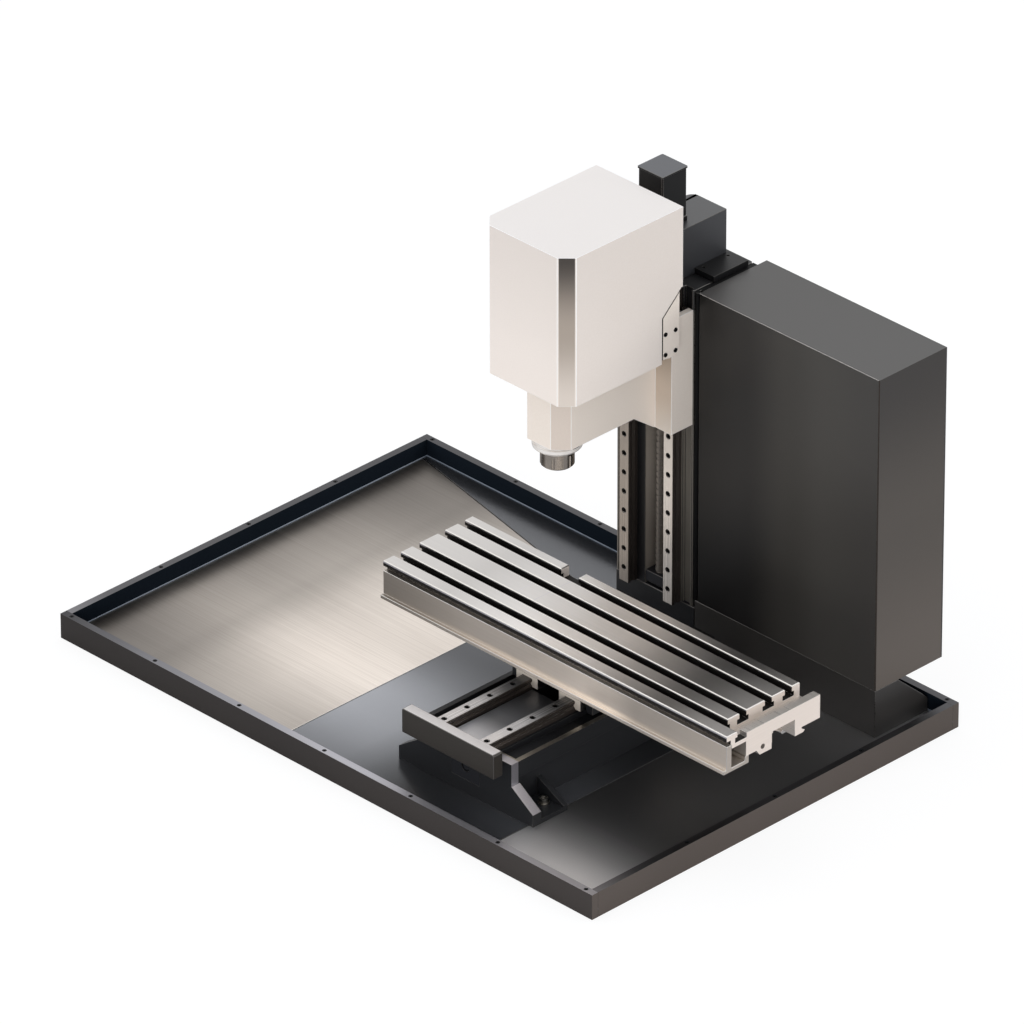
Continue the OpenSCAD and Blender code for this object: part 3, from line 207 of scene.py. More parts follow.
def finish(name, dark, light, rough, metallic=0.0, stretch=None, scale=500.0, fine_share=0.5,
           bump=0.1, specular=0.5):
    """dark and light are hexadecimal colours; rough is a pair; stretch makes streaks, not grain."""
    made = bpy.data.materials.new(name)
    made.use_nodes = True
    tree = made.node_tree
    if stretch is None:
        fine = add(tree, "ShaderNodeGroup", {"Scale": scale}, node_tree=GRAIN)
    else:
        fine = add(tree, "ShaderNodeGroup", {"Stretch": stretch}, node_tree=STREAKS)
    slow = add(tree, "ShaderNodeGroup", node_tree=CLOUDS)
    both = add(tree, "ShaderNodeMix", {FACTOR: fine_share, FLOAT_A: slow.outputs["Value"],
                                       FLOAT_B: fine.outputs["Value"]}, data_type="FLOAT")
    pattern = both.outputs[FLOAT_OUT]
    tint = add(tree, "ShaderNodeMix", {FACTOR: pattern, COLOR_A: linear(dark), COLOR_B: linear(light)},
               data_type="RGBA")
    gloss = add(tree, "ShaderNodeMapRange", {"Value": pattern, "To Min": rough[0], "To Max": rough[1]})
    relief = add(tree, "ShaderNodeBump", {"Strength": bump, "Distance": RELIEF,
                                          "Height": fine.outputs["Value"]})
    feed(tree, tree.nodes["Principled BSDF"], {
        "Base Color": tint.outputs[COLOR_OUT], "Metallic": metallic, "Specular IOR Level": specular,
        "Roughness": gloss.outputs["Result"], "Normal": relief.outputs["Normal"]})
    return made


print("white is", linear("ffffff"))

# %% [markdown]
# Large surfaces aren't one tone from end to end. The room's reflections in them and the shade on them
# are painted into their colour, by a colour ramp along one axis of the object. One helper gives a
# finish its colours by such a ramp, and another multiplies a finish by greys and keeps its own pattern.

# %% Finishes that change over a length
M = {}  # every finish, by a short name


def ramp_along(tree, axis, span, stops, interpolation):
    """Colours that run along one axis of the object, over a span in metres."""
    spot = add(tree, "ShaderNodeTexCoord")
    split = add(tree, "ShaderNodeSeparateXYZ", {0: spot.outputs["Object"]})
    along = add(tree, "ShaderNodeMapRange", {"Value": split.outputs[axis],
                                             "From Min": span[0], "From Max": span[1]})
    ramp = add(tree, "ShaderNodeValToRGB", {"Fac": along.outputs["Result"]})
    ramp.color_ramp.interpolation = interpolation
    while len(ramp.color_ramp.elements) < len(stops):
        ramp.color_ramp.elements.new(0.5)
    for mark, (place, colour) in zip(ramp.color_ramp.elements, stops):
        mark.position, mark.color = place, colour
    return ramp.outputs["Color"]


def graded(name, axis, span, rough, *stops):
    """A finish whose colours run along one axis: painted reflection and shade."""
    made = finish(name, "808080", "808080", rough, scale=900.0)
    tree = made.node_tree
    colours = ramp_along(tree, axis, span, [(place, linear(code)) for place, code in stops], "EASE")
    feed(tree, tree.nodes["Principled BSDF"], {"Base Color": colours})
    return made


def shade_along(name, axis, span, *stops):
    """Multiplies a finish by greys along one axis: painted reflection and shade."""
    tree = M[name].node_tree
    shader = tree.nodes["Principled BSDF"]
    before = shader.inputs["Base Color"].links[0].from_socket
    greys = [(place, (grey, grey, grey, 1.0)) for place, grey in stops]
    after = add(tree, "ShaderNodeMix", {FACTOR: 1.0, COLOR_A: before,
                                        COLOR_B: ramp_along(tree, axis, span, greys, "CARDINAL")},
                data_type="RGBA", blend_type="MULTIPLY")
    feed(tree, shader, {"Base Color": after.outputs[COLOR_OUT]})


ALONG_X = (5.0, 700.0, 700.0)  # stretch of the streaks: long along one axis, fine across it
ALONG_Y = (700.0, 5.0, 700.0)
ALONG_Z = (700.0, 700.0, 5.0)
ROUND_Z = (60.0, 60.0, 2500.0)  # marks of a lathe, round the Z axis
print("helpers ready for", len(bpy.data.node_groups), "patterns")

# %% [markdown]
# ### The tray
# The tray is a shallow pan of dark coated steel. Its rim is ground on top, and the blue shadow on its
# inner side is painted on. Three loose plates cover its floor: one of brushed steel, whose grain runs
# across the machine, and two with a dark, half-glossy coat that mirrors the room, which is why they are
# partly metallic. Their brightness is painted on by ramps, as the light, shade and reflections that
# fall over the tray's front edge, and so are the tones of the rim.

# %% Finishes of the tray
TRAY_X, TRAY_Y = (-0.55, 0.55), (-0.3745, 0.3745)
STEEL_X, CENTRE_X, DECK_Y = (-0.538, -0.1), (-0.1075, 0.3195), (-0.3625, 0.3625)

M.update({
    "tray_dark": finish("tray_paint", "35302e", "3e3936", (0.4, 0.52), scale=700.0, specular=0.35),
    # the tray's right outer side: a lighter copy of its coat, painted light
    "rim_side": finish("rim_side_painted_light", "4e4742", "58504b", (0.4, 0.52), scale=700.0, specular=0.35),
    # the rim's inner side, painted dark blue as the shadow in it
    "rim_inside": finish("rim_inside_painted_shade", "161c23", "1e252d", (0.5, 0.6), scale=700.0, specular=0.0),
    # a thin bright line where the rim meets the plates: painted highlight
    "rim_fold_painted_highlight": finish("rim_fold_painted_highlight", "9aa5b3", "aab5c3", (0.35, 0.45), 0.2),
    # the rim's front top and side top: lit and shaded copies of one ground finish
    "rim_front_top": finish("rim_front_ground", "b9b8bf", "cbcad1", (0.26, 0.36), 1.0, ALONG_X),
    "rim_side_top": finish("rim_side_ground", "9c9ba0", "aaa9ae", (0.26, 0.36), 1.0, ALONG_Y),
    "floor_sheet": finish("floor_paint", "34373b", "3c4044", (0.42, 0.52), scale=700.0, specular=0.0),
    "deck_bright": finish("deck_brushed", "d8cec5", "f8efe6", (0.3, 0.42), 1.0, ALONG_X,
                          fine_share=0.6),
    "deck_dark": finish("deck_paint", "9b9da3", "adafb4", (0.2, 0.28), 0.82, scale=800.0),
    # light colours, so that the right plate carries its painted reflection
    "deck_right": finish("deck_right_painted_reflection", "e1dfdf", "f0eeee", (0.3, 0.4), 0.85, scale=800.0),
})
# painted shade: the tray's outer side darkens towards the left
shade_along("tray_dark", "X", TRAY_X, (0.0, 0.6), (0.5, 0.75), (1.0, 1.0))
# painted reflection: the rim's tops lighten and darken along the tray as the room is mirrored in them
shade_along("rim_front_top", "X", TRAY_X, (0.0, 0.1), (0.14, 0.32), (0.25, 0.48), (0.38, 0.64),
            (0.5, 0.8), (1.0, 0.7))
shade_along("rim_side_top", "Y", TRAY_Y, (0.0, 0.6), (0.12, 0.32), (1.0, 0.22))
# painted reflection and shade on the plates: bright where the lamps are mirrored, dark round the base
# and towards the back
shade_along("deck_bright", "X", STEEL_X, (0.0, 0.45), (0.17, 0.47), (0.28, 0.53), (0.36, 0.56),
            (0.45, 0.73), (0.54, 0.87), (0.71, 1.0), (0.88, 1.0), (1.0, 0.98))
shade_along("deck_bright", "Y", DECK_Y, (0.0, 0.5), (0.12, 0.64), (0.2, 0.82), (0.29, 1.0),
            (0.43, 0.9), (0.57, 0.9), (0.71, 0.76), (0.84, 0.55), (1.0, 0.62))
shade_along("deck_dark", "X", CENTRE_X, (0.0, 1.0), (0.25, 0.8), (0.36, 0.5), (0.47, 0.32),
            (0.65, 0.4), (0.86, 0.7), (1.0, 0.7))
shade_along("deck_dark", "Y", DECK_Y, (0.0, 0.5), (0.1, 0.75), (0.2, 1.0), (0.3, 0.95), (0.38, 0.6),
            (0.48, 0.3), (0.6, 0.35), (0.8, 0.38), (0.92, 0.34), (1.0, 0.28))
shade_along("deck_right", "Y", DECK_Y, (0.0, 1.0), (0.06, 1.0), (0.13, 0.68), (0.22, 0.26),
            (0.38, 0.18), (0.7, 0.18), (0.88, 0.4), (1.0, 0.6))
print("finishes:", len(M))

# %% [markdown]
# ### Base and column
# Base and column are castings, so their paint has a coarser grain and a stronger bump than sheet has.
# Where a casting was milled it is bare: the top of the bar in front and the seats beside the rails. The
# rails are ground along their length, and they and the cover plate between them are painted darker
# towards the table, as its shadow.

# %% Finishes of the base, the column and their rails
OPEN_Y = (-0.2895, -0.108)  # the part of the base in front of the table

M.update({
    "casting_dark": finish("casting_paint", "161719", "1e1f22", (0.4, 0.5), bump=0.3),
    "machined_dark": finish("machined_dark", "cac7ce", "dcdae1", (0.3, 0.4), 1.0, scale=700.0),
    "machined_warm": finish("machined_warm", "b0aaa0", "c8c2b8", (0.25, 0.35), 1.0, ALONG_Y),
    # the bar's front, painted dark as the shade on it
    "bar_metal": finish("bar_front_painted_shade", "26231f", "332f2b", (0.34, 0.46), 0.0, ALONG_X, specular=0.4),
    "bar_top": finish("bar_ground", "d3d0d0", "e2dfdf", (0.3, 0.4), 0.9, ALONG_X),
    "cover_plate": finish("cover_plate_ground", "f4f4f8", "fcfcff", (0.25, 0.35), 0.6, ALONG_Y),
    "column_metal": finish("column_paint", "7d7870", "8d887f", (0.3, 0.42), 0.35, ALONG_Z),
    # a lighter copy of the column's paint: painted light in its channel
    "column_painted_light": finish("column_painted_light", "a39b91", "b0a89e", (0.35, 0.45), 0.2, ALONG_Z),
    # painted shade: the column beside the far rail and at its upper end under the cover
    "column_cap": finish("column_painted_shade", "121214", "19191b", (0.4, 0.5), scale=600.0),
    "cable_black": finish("cable_cover_paint", "0a0a0b", "111113", (0.35, 0.45), scale=600.0,
                          specular=0.35),
    "strip_black": finish("strip_plastic", "0b0b0c", "101011", (0.5, 0.6), specular=0.15),
    "rail_steel": finish("rail_ground", "e8e4e1", "f4f0ed", (0.2, 0.3), 0.35, ALONG_Y),
    "rail_z": finish("rail_ground_up", "e2dad1", "f0e8df", (0.2, 0.3), 0.35, ALONG_Z),
    # the far upright rail: a darker copy, painted shade
    "rail_z_far": finish("rail_far_painted_shade", "a59b91", "b8aea4", (0.2, 0.3), 0.35, ALONG_Z),
    "rail_x": finish("rail_ground_across", "cfccc8", "e2dfdb", (0.16, 0.26), 1.0, ALONG_X),
    # a rail's flank, painted dark as the shade of its top edge
    "rail_side": finish("rail_side_painted_shade", "39332f", "4a433e", (0.3, 0.4), 0.5, ALONG_Z),
})
# painted shadow: the cover plate and the open rails darken towards the table
shade_along("cover_plate", "Y", OPEN_Y, (0.0, 1.0), (0.2, 0.85), (0.3, 0.7), (0.45, 0.36),
            (0.6, 0.28), (1.0, 0.1))
shade_along("rail_steel", "Y", OPEN_Y, (0.0, 1.0), (0.35, 1.0), (0.5, 0.95), (0.66, 0.5),
            (0.85, 0.2), (1.0, 0.12))
print("finishes:", len(M))

# %% [markdown]
# ### Bought parts
# Blocks, screws, bearings, motors, pulleys and the belt come from a catalogue, with the finishes of
# such parts: ground steel, rolled threads, black oxide, zinc plate, turned steel and moulded plastic.
# Turned parts get streaks that run round their own axis.

# %% Finishes of the bought parts
M.update({
    "block_steel": finish("block_ground", "a5a29e", "bab7b3", (0.25, 0.38), 1.0, ALONG_Y),
    "wiper_light": finish("wiper_plastic", "c9bfb2", "d8cec2", (0.4, 0.5)),
    "screw_steel": finish("thread_rolled", "7a746d", "8c857e", (0.25, 0.35), 0.5, ROUND_Z),
    "bearing_dark": finish("bearing_oxide", "26272a", "303136", (0.35, 0.45), 0.4, scale=600.0),
    "motor_black": finish("motor_paint", "080808", "0d0d0d", (0.3, 0.4), scale=600.0, specular=0.35),
    "motor_top": finish("motor_top_paint", "46484d", "515358", (0.3, 0.4), scale=600.0, specular=0.8),
    "housing_grey": finish("housing_paint", "26272a", "2f3033", (0.35, 0.45), scale=700.0, specular=1.0),
    "black_oxide": finish("oxide_screws", "141414", "1e1e1e", (0.3, 0.45), 0.6, scale=900.0),
    "zinc_screws": finish("zinc_plate", "8f8b84", "a8a49d", (0.25, 0.4), 1.0, scale=900.0),
    "electronics": finish("electronics_case", "7d8083", "909396", (0.4, 0.5), 0.5),
    "inlet_black": finish("inlet_plastic", "18181a", "202023", (0.4, 0.5)),
    "spindle_steel": finish("spindle_turned", "f2ede7", "faf6f1", (0.2, 0.3), 0.2, ROUND_Z),
    "nut_chrome": finish("nut_polished", "b3a99f", "c6bdb3", (0.12, 0.2), 1.0, ROUND_Z),
    "pulley_metal": finish("pulley_turned", "b5b2ae", "c9c6c2", (0.25, 0.35), 1.0, ROUND_Z),
    "belt_rubber": finish("belt_rubber", "141414", "1c1c1c", (0.6, 0.75), scale=900.0),
})
print("finishes:", len(M))

# %% [markdown]
# ### Table and head
# The table is milled steel. Its top is ground, and the dark head that it mirrors over its right half
# is painted in as a ramp; its front is a satin channel with painted shade along it. The head and its
# cover are painted white. The cover's top is painted a hair lighter than its sides, and its sides are
# painted darker upwards, as the light falls on them.

# %% Finishes of the table and the head
TABLE_X = (-0.0835, 0.6115)
COVER_Z = (0.517, 0.76)

M.update({
    "table_metal": finish("table_milled", "d0cac4", "e0dad4", (0.25, 0.35), 0.8, ALONG_X,
                          fine_share=0.7),
    "table_top": finish("table_ground", "f0ece9", "fbf8f5", (0.3, 0.4), 1.0, ALONG_X, fine_share=0.7),
    "table_end": finish("table_end_painted_reflection", "e2d6cb", "efe3d9", (0.3, 0.4), 0.25, ALONG_Y),
    "channel_metal": finish("channel_satin", "efe2d4", "fdf2e6", (0.3, 0.4), 0.75, ALONG_X),
    "slot_dark": finish("slot_shadow", "141210", "1d1a18", (0.5, 0.6), 0.0, ALONG_X, specular=0.2),
    "head_white": finish("head_paint", "efe4d8", "f5ebe0", (0.35, 0.45), bump=0.05),
    "cover_white": finish("cover_paint", "f0e6dd", "f5ece4", (0.35, 0.45), bump=0.05),
    # the cover's top, a lighter copy of its paint: painted light
    "cover_top": finish("cover_top_painted_light", "f6f0ea", "faf5f0", (0.35, 0.45), bump=0.05),
    # arm chamfers, a darker copy of the head's paint: painted shade
    "arm_chamfer": finish("arm_chamfer", "d8cbbf", "dfd2c6", (0.35, 0.45), bump=0.05),
})
# painted reflection: the dark head mirrored over the top's right half
shade_along("table_top", "X", TABLE_X, (0.0, 0.68), (0.12, 0.66), (0.2, 0.64), (0.35, 0.85),
            (0.45, 1.0), (0.58, 0.85), (0.66, 0.55), (0.75, 0.3), (0.83, 0.2), (0.93, 0.42), (1.0, 0.5))
# painted shade along the front channel, darkest at its left end
shade_along("channel_metal", "X", TABLE_X, (0.0, 0.36), (0.2, 0.58), (0.33, 0.76), (0.5, 0.85),
            (0.66, 1.0), (0.74, 0.66), (1.0, 0.72))
# painted shade: the cover's sides darken upwards
shade_along("cover_white", "Z", COVER_Z, (0.0, 1.0), (0.4, 0.94), (1.0, 0.84))
print("finishes:", len(M))

# %% [markdown]
# ### Cabinet and edges
# The cabinet has a black powder coat with a slight shine. The reflection of a dark room on the left
# of its front and a lighter one on the right is painted on as a ramp, and so is the shade of its side,
# darker towards the top. Last come the finishes of the broken edges, painted a little brighter than
# the faces beside them, as their highlights.

# %% Finishes of the cabinet and of the edges
CABINET_X, CABINET_Z = (0.141, 0.501), (0.09, 0.605)

M.update({
    "cabinet_black": finish("cabinet_coat", "2b2928", "343230", (0.34, 0.44), scale=900.0, bump=0.15,
                            specular=0.9),
    "cabinet_front": graded("cabinet_front_painted_reflection", "X", CABINET_X, (0.34, 0.44), (0.0, "090909"),
                            (0.25, "1c1b1b"), (0.5, "373532"), (0.7, "3f3d3a"), (1.0, "3a3836")),
    "cabinet_side": graded("cabinet_side_painted_shade", "Z", CABINET_Z, (0.34, 0.44),
                           (0.0, "5b544e"), (0.5, "4b4641"), (1.0, "34312f")),
    # broken edges, painted a little brighter than their faces as highlights
    "edge_dark": finish("edge_painted_highlight_dark", "6a6866", "7c7a78", (0.25, 0.35), 1.0, scale=600.0),
    "edge_metal": finish("edge_bright", "e6e2dd", "f2efeb", (0.15, 0.22), 1.0, scale=600.0),
    "edge_white": finish("edge_white", "fdfcfa", "ffffff", (0.3, 0.4)),
    "edge_painted_highlight": finish("edge_painted_highlight", "f6efe8", "fdf8f3", (0.3, 0.4)),
    "gap_dark": finish("gap_shadow", "2b2622", "38322d", (0.5, 0.6), specular=0.2),
})
print("finishes:", len(M))

# %% [markdown]
# Each CAD node names its finish in the record, as its material slot. A few nodes share a slot but
# don't look the same on the machine, so they get a finish of their own.

# %% Put every CAD node in its finish
slot_of = {row["node"]: row["material_slot"] for row in frame["record"]["subparts"]}
finish_of = dict(slot_of, z_rail_left="rail_z", z_rail_right="rail_z", x_rail_front="rail_x",
                 x_rail_rear="rail_x", deck_plate_right="deck_right", screw_cover="cover_plate",
                 cable_cover="cable_black")


def put_on(piece, *names):
    """Gives a piece these finishes and no others."""
    piece.data.materials.clear()
    for name in names:
        piece.data.materials.append(M[name])


for node, obj in frame["nodes"].items():
    put_on(obj, finish_of[node])
print("CAD nodes with a finish:", len(slot_of))

# %% [markdown]
# ## Breaking the edges
# No workshop leaves a razor edge, and it is the broken edge that catches the light. A copy of each
# solid is joined into one skin, its flat areas are merged, and a bevel rounds what is sharp. The new
# narrow faces get a finish of their own, a little brighter, a painted highlight along each edge. A copy
# is used, and the CAD model's own meshes stay as they are.

# %% Copy a node and break its edges
MERGE = 1e-6  # metres; points closer than this are one
FLAT, SHARP, SMOOTH = 1.0, 38.0, 32.0  # degrees: merged below, beveled above, shaded smooth below


def only(*objects):
    """Selects just these objects and makes the first one active."""
    bpy.ops.object.select_all(action="DESELECT")
    for o in objects:
        o.select_set(True)
    bpy.context.view_layer.objects.active = objects[0]


def edit_whole(piece, *steps):
    """Runs steps in edit mode, each on the whole piece."""
    only(piece)
    bpy.ops.object.mode_set(mode="EDIT")
    for step in steps:
        bpy.ops.mesh.select_all(action="SELECT")
        step()
    bpy.ops.object.mode_set(mode="OBJECT")


def plain_copy(node, name):
    """A copy of a CAD node with its points joined and its flat areas merged."""
    only(frame["nodes"][node])
    bpy.ops.object.duplicate(linked=False)
    piece = bpy.context.active_object
    piece.parent = None
    piece.name = piece.data.name = name
    for key in list(piece.keys()):
        del piece[key]
    edit_whole(piece, lambda: bpy.ops.mesh.remove_doubles(threshold=MERGE),
               lambda: bpy.ops.mesh.dissolve_limited(angle_limit=math.radians(FLAT)))
    return piece


def bake(piece, modifier):
    """Writes a modifier's result into the piece's own mesh."""
    only(piece)
    bpy.ops.object.modifier_apply(modifier=modifier.name)


def break_edges(piece, width, angle=SHARP, material=0):
    bevel = piece.modifiers.new("bevel", "BEVEL")
    bevel.width = width
    bevel.segments = 2
    bevel.limit_method = "ANGLE"
    bevel.angle_limit = math.radians(angle)
    bevel.use_clamp_overlap = True
    bevel.material = material
    bake(piece, bevel)
    bpy.ops.object.shade_smooth_by_angle(angle=math.radians(SMOOTH))


print("edges over", SHARP, "degrees will be broken")

# %% [markdown]
# The table's slots have a wider chamfer than its other edges, which the cutter leaves so that a T nut
# slides in. It is a bevel of only those edges that lie in the top plane. After it, each piece takes the
# place of its CAD node and rides on the node's body, so that it moves with it.

# %% Dress one node
SLOT_CHAMFER = 0.0012
SHORTEST = 0.01  # metres; shorter edges up there belong to small holes
SAME_PLANE = 1e-5
EDGE_FINISH = 1  # index of the second material on a dressed piece

body_of = {n: b for b, members in frame["record"]["behaviour"]["bodies"].items() for n in members}


def place(piece, node):
    """The piece stands for a CAD node, and rides where the node rides."""
    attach(piece, body_of[node])
    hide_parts(node)


def chamfer_top(piece):
    """Chamfers every long edge that lies in the piece's top plane."""
    level = max(v.co.z for v in piece.data.vertices)
    edit_whole(piece, lambda: bpy.ops.mesh.select_mode(type="EDGE"),
               lambda: bpy.ops.mesh.select_all(action="DESELECT"))
    for e in piece.data.edges:
        ends = [piece.data.vertices[v].co for v in e.vertices]
        on_top = all(abs(c.z - level) < SAME_PLANE for c in ends)
        e.select = on_top and (ends[0] - ends[1]).length > SHORTEST
    bpy.ops.object.mode_set(mode="EDIT")
    bpy.ops.mesh.bevel(offset=SLOT_CHAMFER, segments=1, material=EDGE_FINISH, clamp_overlap=False)
    bpy.ops.object.mode_set(mode="OBJECT")


def dressed(node, width, edge):
    piece = plain_copy(node, node + "_finished")
    put_on(piece, finish_of[node], edge)
    if node == "table_casting":
        chamfer_top(piece)
    break_edges(piece, width, material=EDGE_FINISH)
    place(piece, node)
    return piece


print("bodies:", sorted(set(body_of.values())))

# %% [markdown]
# How wide an edge is broken follows how the part is made: about 1 mm with a file on a casting, half of
# that on a ground or turned part, and a folded sheet is round by its bend.

# %% Break the edges of every part
EDGES = {  # metres
    "edge_dark": {"tray_rim": 0.0009, "base_casting": 0.0008, "front_bar": 0.0008, "column": 0.0008,
                  "cabinet_shell": 0.0016, "cabinet_stand": 0.001, "motor_housing": 0.001,
                  "cable_cover": 0.0008, "column_base": 0.001, "bridge_foot": 0.001, "z_motor": 0.0007,
                  "y_motor": 0.0006, "saddle_casting": 0.0008, "screw_cover": 0.0004,
                  "deck_plate_centre": 0.0004, "deck_plate_right": 0.0004, "spindle_motor": 0.0006,
                  "x_motor": 0.0006, "cabinet_back_panel": 0.0004, "y_screw_bearings": 0.0006,
                  "z_screw_bearings": 0.0006, "side_strip": 0.0005, "power_inlet": 0.0006,
                  "drive_electronics": 0.001, "spindle_belt": 0.0004},
    "gap_dark": {"cover_brackets": 0.0012},
    "edge_metal": {"table_casting": 0.0011, "table_front_channel": 0.0007, "y_blocks": 0.0005,
                   "x_blocks": 0.0005, "z_blocks": 0.0005, "spindle_housing": 0.0005,
                   "collet_nut": 0.0005, "collet": 0.0002, "spindle_shaft": 0.0004,
                   "deck_plate_steel": 0.0011, "y_coupling": 0.0004, "z_coupling": 0.0004,
                   "spindle_pulley": 0.0004, "motor_pulley": 0.0004, "y_rail_left": 0.0006,
                   "y_rail_right": 0.0006, "z_rail_left": 0.0006, "z_rail_right": 0.0006,
                   "x_rail_front": 0.0006, "x_rail_rear": 0.0006, "y_ball_nut": 0.0007,
                   "x_ball_nut": 0.0007, "z_ball_nut": 0.0007, "foot_bolts": 0.0005},
    "edge_white": {"head_casting": 0.001, "head_cover": 0.0014},
}
finished = {node: dressed(node, width, edge)
            for edge, widths in EDGES.items() for node, width in widths.items()}
print("edges broken on", len(finished), "castings and plates")

# %% [markdown]
# ## Faces that differ
# Some faces of one casting differ from the rest: a machined pad is bare metal on a painted part, the
# inside of a T slot is painted dark as the shade in it, and some faces are painted lighter and some
# darker as the light falls on them. One helper divides a piece along a plane, and one picks faces by
# their middle and direction and gives them another finish. The edges' own faces are passed over,
# unless a line along an edge is what is wanted.

# %% Helpers that cut and paint faces
FACING = 0.9  # a face looks up, forward or aside when its normal has this much of that direction
LEANING, UPRIGHT = 0.3, 0.1  # a slanted face has more than this of a direction, an upright one less
SKIN = 0.001  # metres; faces closer to an outer side than this belong to it
HALF_SKIN = SKIN / 2
RIGHT, BACK, UP = (1.0, 0.0, 0.0), (0.0, 1.0, 0.0), (0.0, 0.0, 1.0)


def cut_faces(piece, point, normal):
    """Divides the piece along a plane and keeps both sides."""
    edit_whole(piece, lambda: bpy.ops.mesh.bisect(plane_co=point, plane_no=normal,
                                                  clear_inner=False, clear_outer=False))


def paint_faces(piece, material, test, edges_too=False):
    """Gives a finish to the faces whose middle c and normal n pass the test."""
    piece.data.materials.append(M[material])
    index = len(piece.data.materials) - 1
    count = 0
    for face in piece.data.polygons:
        free = edges_too or face.material_index != EDGE_FINISH
        if free and test(face.center, face.normal):
            face.material_index = index
            count += 1
    print(piece.name, "has", count, "faces in", material)


print("one plane is within", SKIN, "m")

# %% [markdown]
# The table's slots are painted dark inside, as the shade in them, and the light catches the lip above
# each. Its ground top and its end, which is milled across the grain, have finishes of their own; the
# end's light tone is a painted reflection.

# %% Faces of the table
LIP = 0.0036  # height of the bright lip above a slot's dark wall
SLOT_DARK = 0.0175  # how far down the painted shade of a slot shows
END_W = 0.033  # length of the end casting, which has no slots

table = finished["table_casting"]
low_t, high_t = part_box("table_casting")
top, slots_end = high_t.z, high_t.x - END_W


def on_top(c, n):
    return n.z > FACING and c.z > top - HALF_SKIN


cut_faces(table, (0.0, 0.0, top - LIP), UP)
paint_faces(table, "machined_dark", lambda c, n: c.z > top - LIP and n.y < -FACING and c.x < slots_end)
# painted shade inside the slots
paint_faces(table, "slot_dark",
            lambda c, n: (top - SLOT_DARK < c.z < top - LIP and c.x < slots_end and n.x > -FACING
                          and not (n.y > FACING and c.y > high_t.y - SKIN)))
paint_faces(table, "table_top", on_top)
# the end's light tone: a painted reflection
paint_faces(table, "table_end", lambda c, n: n.x > FACING)

# %% [markdown]
# The base's front corner was milled: the seat beside the rail is bare metal, and so are its two slanted
# shoulders and a strip along its side, which are also a painted highlight where the corner catches the
# light. Farther back the same seat is a warmer grey. The bar across the front is painted dark on its
# front, as the shade on it, and only its top was ground.

# %% Faces of the base
FOOT = 0.014  # how far the machined strip of the front corner reaches back
RAIL_LEAD = 0.0175  # the rails start this far in front of the base
SHOULDER, SHOULDER_LEAN = 0.02, 0.2  # depth of the slanted shoulders, and how far they look aside
SEAT_PLAY = 0.002  # the seat lies less than this below the rail
RIGHT_LEDGE, RIGHT_WALL, FOOT_TOP = 0.25, 0.28, 0.062  # where the right ledge, its side and foot lie

base = finished["base_casting"]
rail_start, rail_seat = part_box("y_rail_left")[0].y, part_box("y_rail_left")[0].z - SEAT_PLAY
base_front = rail_start + RAIL_LEAD
strip_back = base_front + FOOT


def on_seat(c, n):
    return n.z > FACING and c.z > rail_seat and c.x > RIGHT_LEDGE


cut_faces(base, (0.0, strip_back, 0.0), BACK)
# bare metal, and a painted highlight where the front corner catches the light
paint_faces(base, "machined_dark",
            lambda c, n: n.z > LEANING and n.x > SHOULDER_LEAN and c.y < base_front + SHOULDER)
paint_faces(base, "machined_dark",
            lambda c, n: n.x > FACING and c.x > RIGHT_WALL and c.y < strip_back and c.z > FOOT_TOP)
paint_faces(base, "machined_dark", lambda c, n: on_seat(c, n) and c.y < strip_back)
paint_faces(base, "machined_warm", lambda c, n: on_seat(c, n) and c.y > strip_back)
paint_faces(finished["front_bar"], "bar_top", lambda c, n: n.z > FACING)

# %% [markdown]
# A rail is ground bright on top, and its flank is painted dark as the shade of its own top edge. The
# upright rail on the far side is painted darker than the near one, as it gets less light. The blocks
# end in light plastic wipers.

# %% Faces of the rails, the blocks and the motor
FLANK = 0.5  # a waisted flank looks less far aside than a flat one

for node in ("z_rail_left", "z_rail_right", "y_rail_left", "y_rail_right"):
    paint_faces(finished[node], "rail_side", lambda c, n: n.x > FLANK)
paint_faces(finished["z_rail_left"], "rail_z_far", lambda c, n: n.y < -FACING)
block_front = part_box("y_blocks")[0].y + HALF_SKIN
paint_faces(finished["y_blocks"], "wiper_light", lambda c, n: n.y < -FACING and c.y < block_front)
paint_faces(finished["z_motor"], "motor_top", lambda c, n: n.z > FACING)

# %% [markdown]
# The column's front is painted black beside the far rail, as the rail's shadow on it, and its channel,
# where the screw runs, is painted lighter, as the light that falls in. Its upper end above the head is
# painted dark too, as the shade under the cover.

# %% Faces of the column
COVER_SHADE_DROP = 0.004  # the painted shade starts this far below the head casting's top
LAND_END, WALLS, CHANNEL, DEPTH = 0.02, 0.04, 0.03, 0.02  # where the front and its channel lie

column = finished["column"]
low_k, high_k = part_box("column")
middle_x = (low_k.x + high_k.x) / 2
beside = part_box("z_rail_left")[1].x
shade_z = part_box("head_casting")[1].z - COVER_SHADE_DROP
cut_faces(column, (beside, 0.0, 0.0), RIGHT)
# painted shadow of the far rail on the column's front
paint_faces(column, "column_cap", lambda c, n: (n.y < -FACING and beside < c.x < middle_x - LAND_END
                                                and c.y < low_k.y + 2 * SKIN))
paint_faces(column, "column_painted_light", lambda c, n: n.x > FACING and abs(c.x - middle_x) < WALLS)
paint_faces(column, "column_painted_light", lambda c, n: (n.y < -FACING and abs(c.x - middle_x) < CHANNEL
                                                   and c.y > low_k.y + DEPTH))
cut_faces(column, (0.0, 0.0, shade_z), UP)
# painted shade under the cover on the column's upper end
paint_faces(column, "column_cap", lambda c, n: c.z > shade_z)

# %% [markdown]
# The cabinet's front and side take the two graded finishes. Its front top edge is a folded one, painted
# as a thin bright line where it catches the light, and its right edges are painted as a dark line, the
# shade where they fold away.

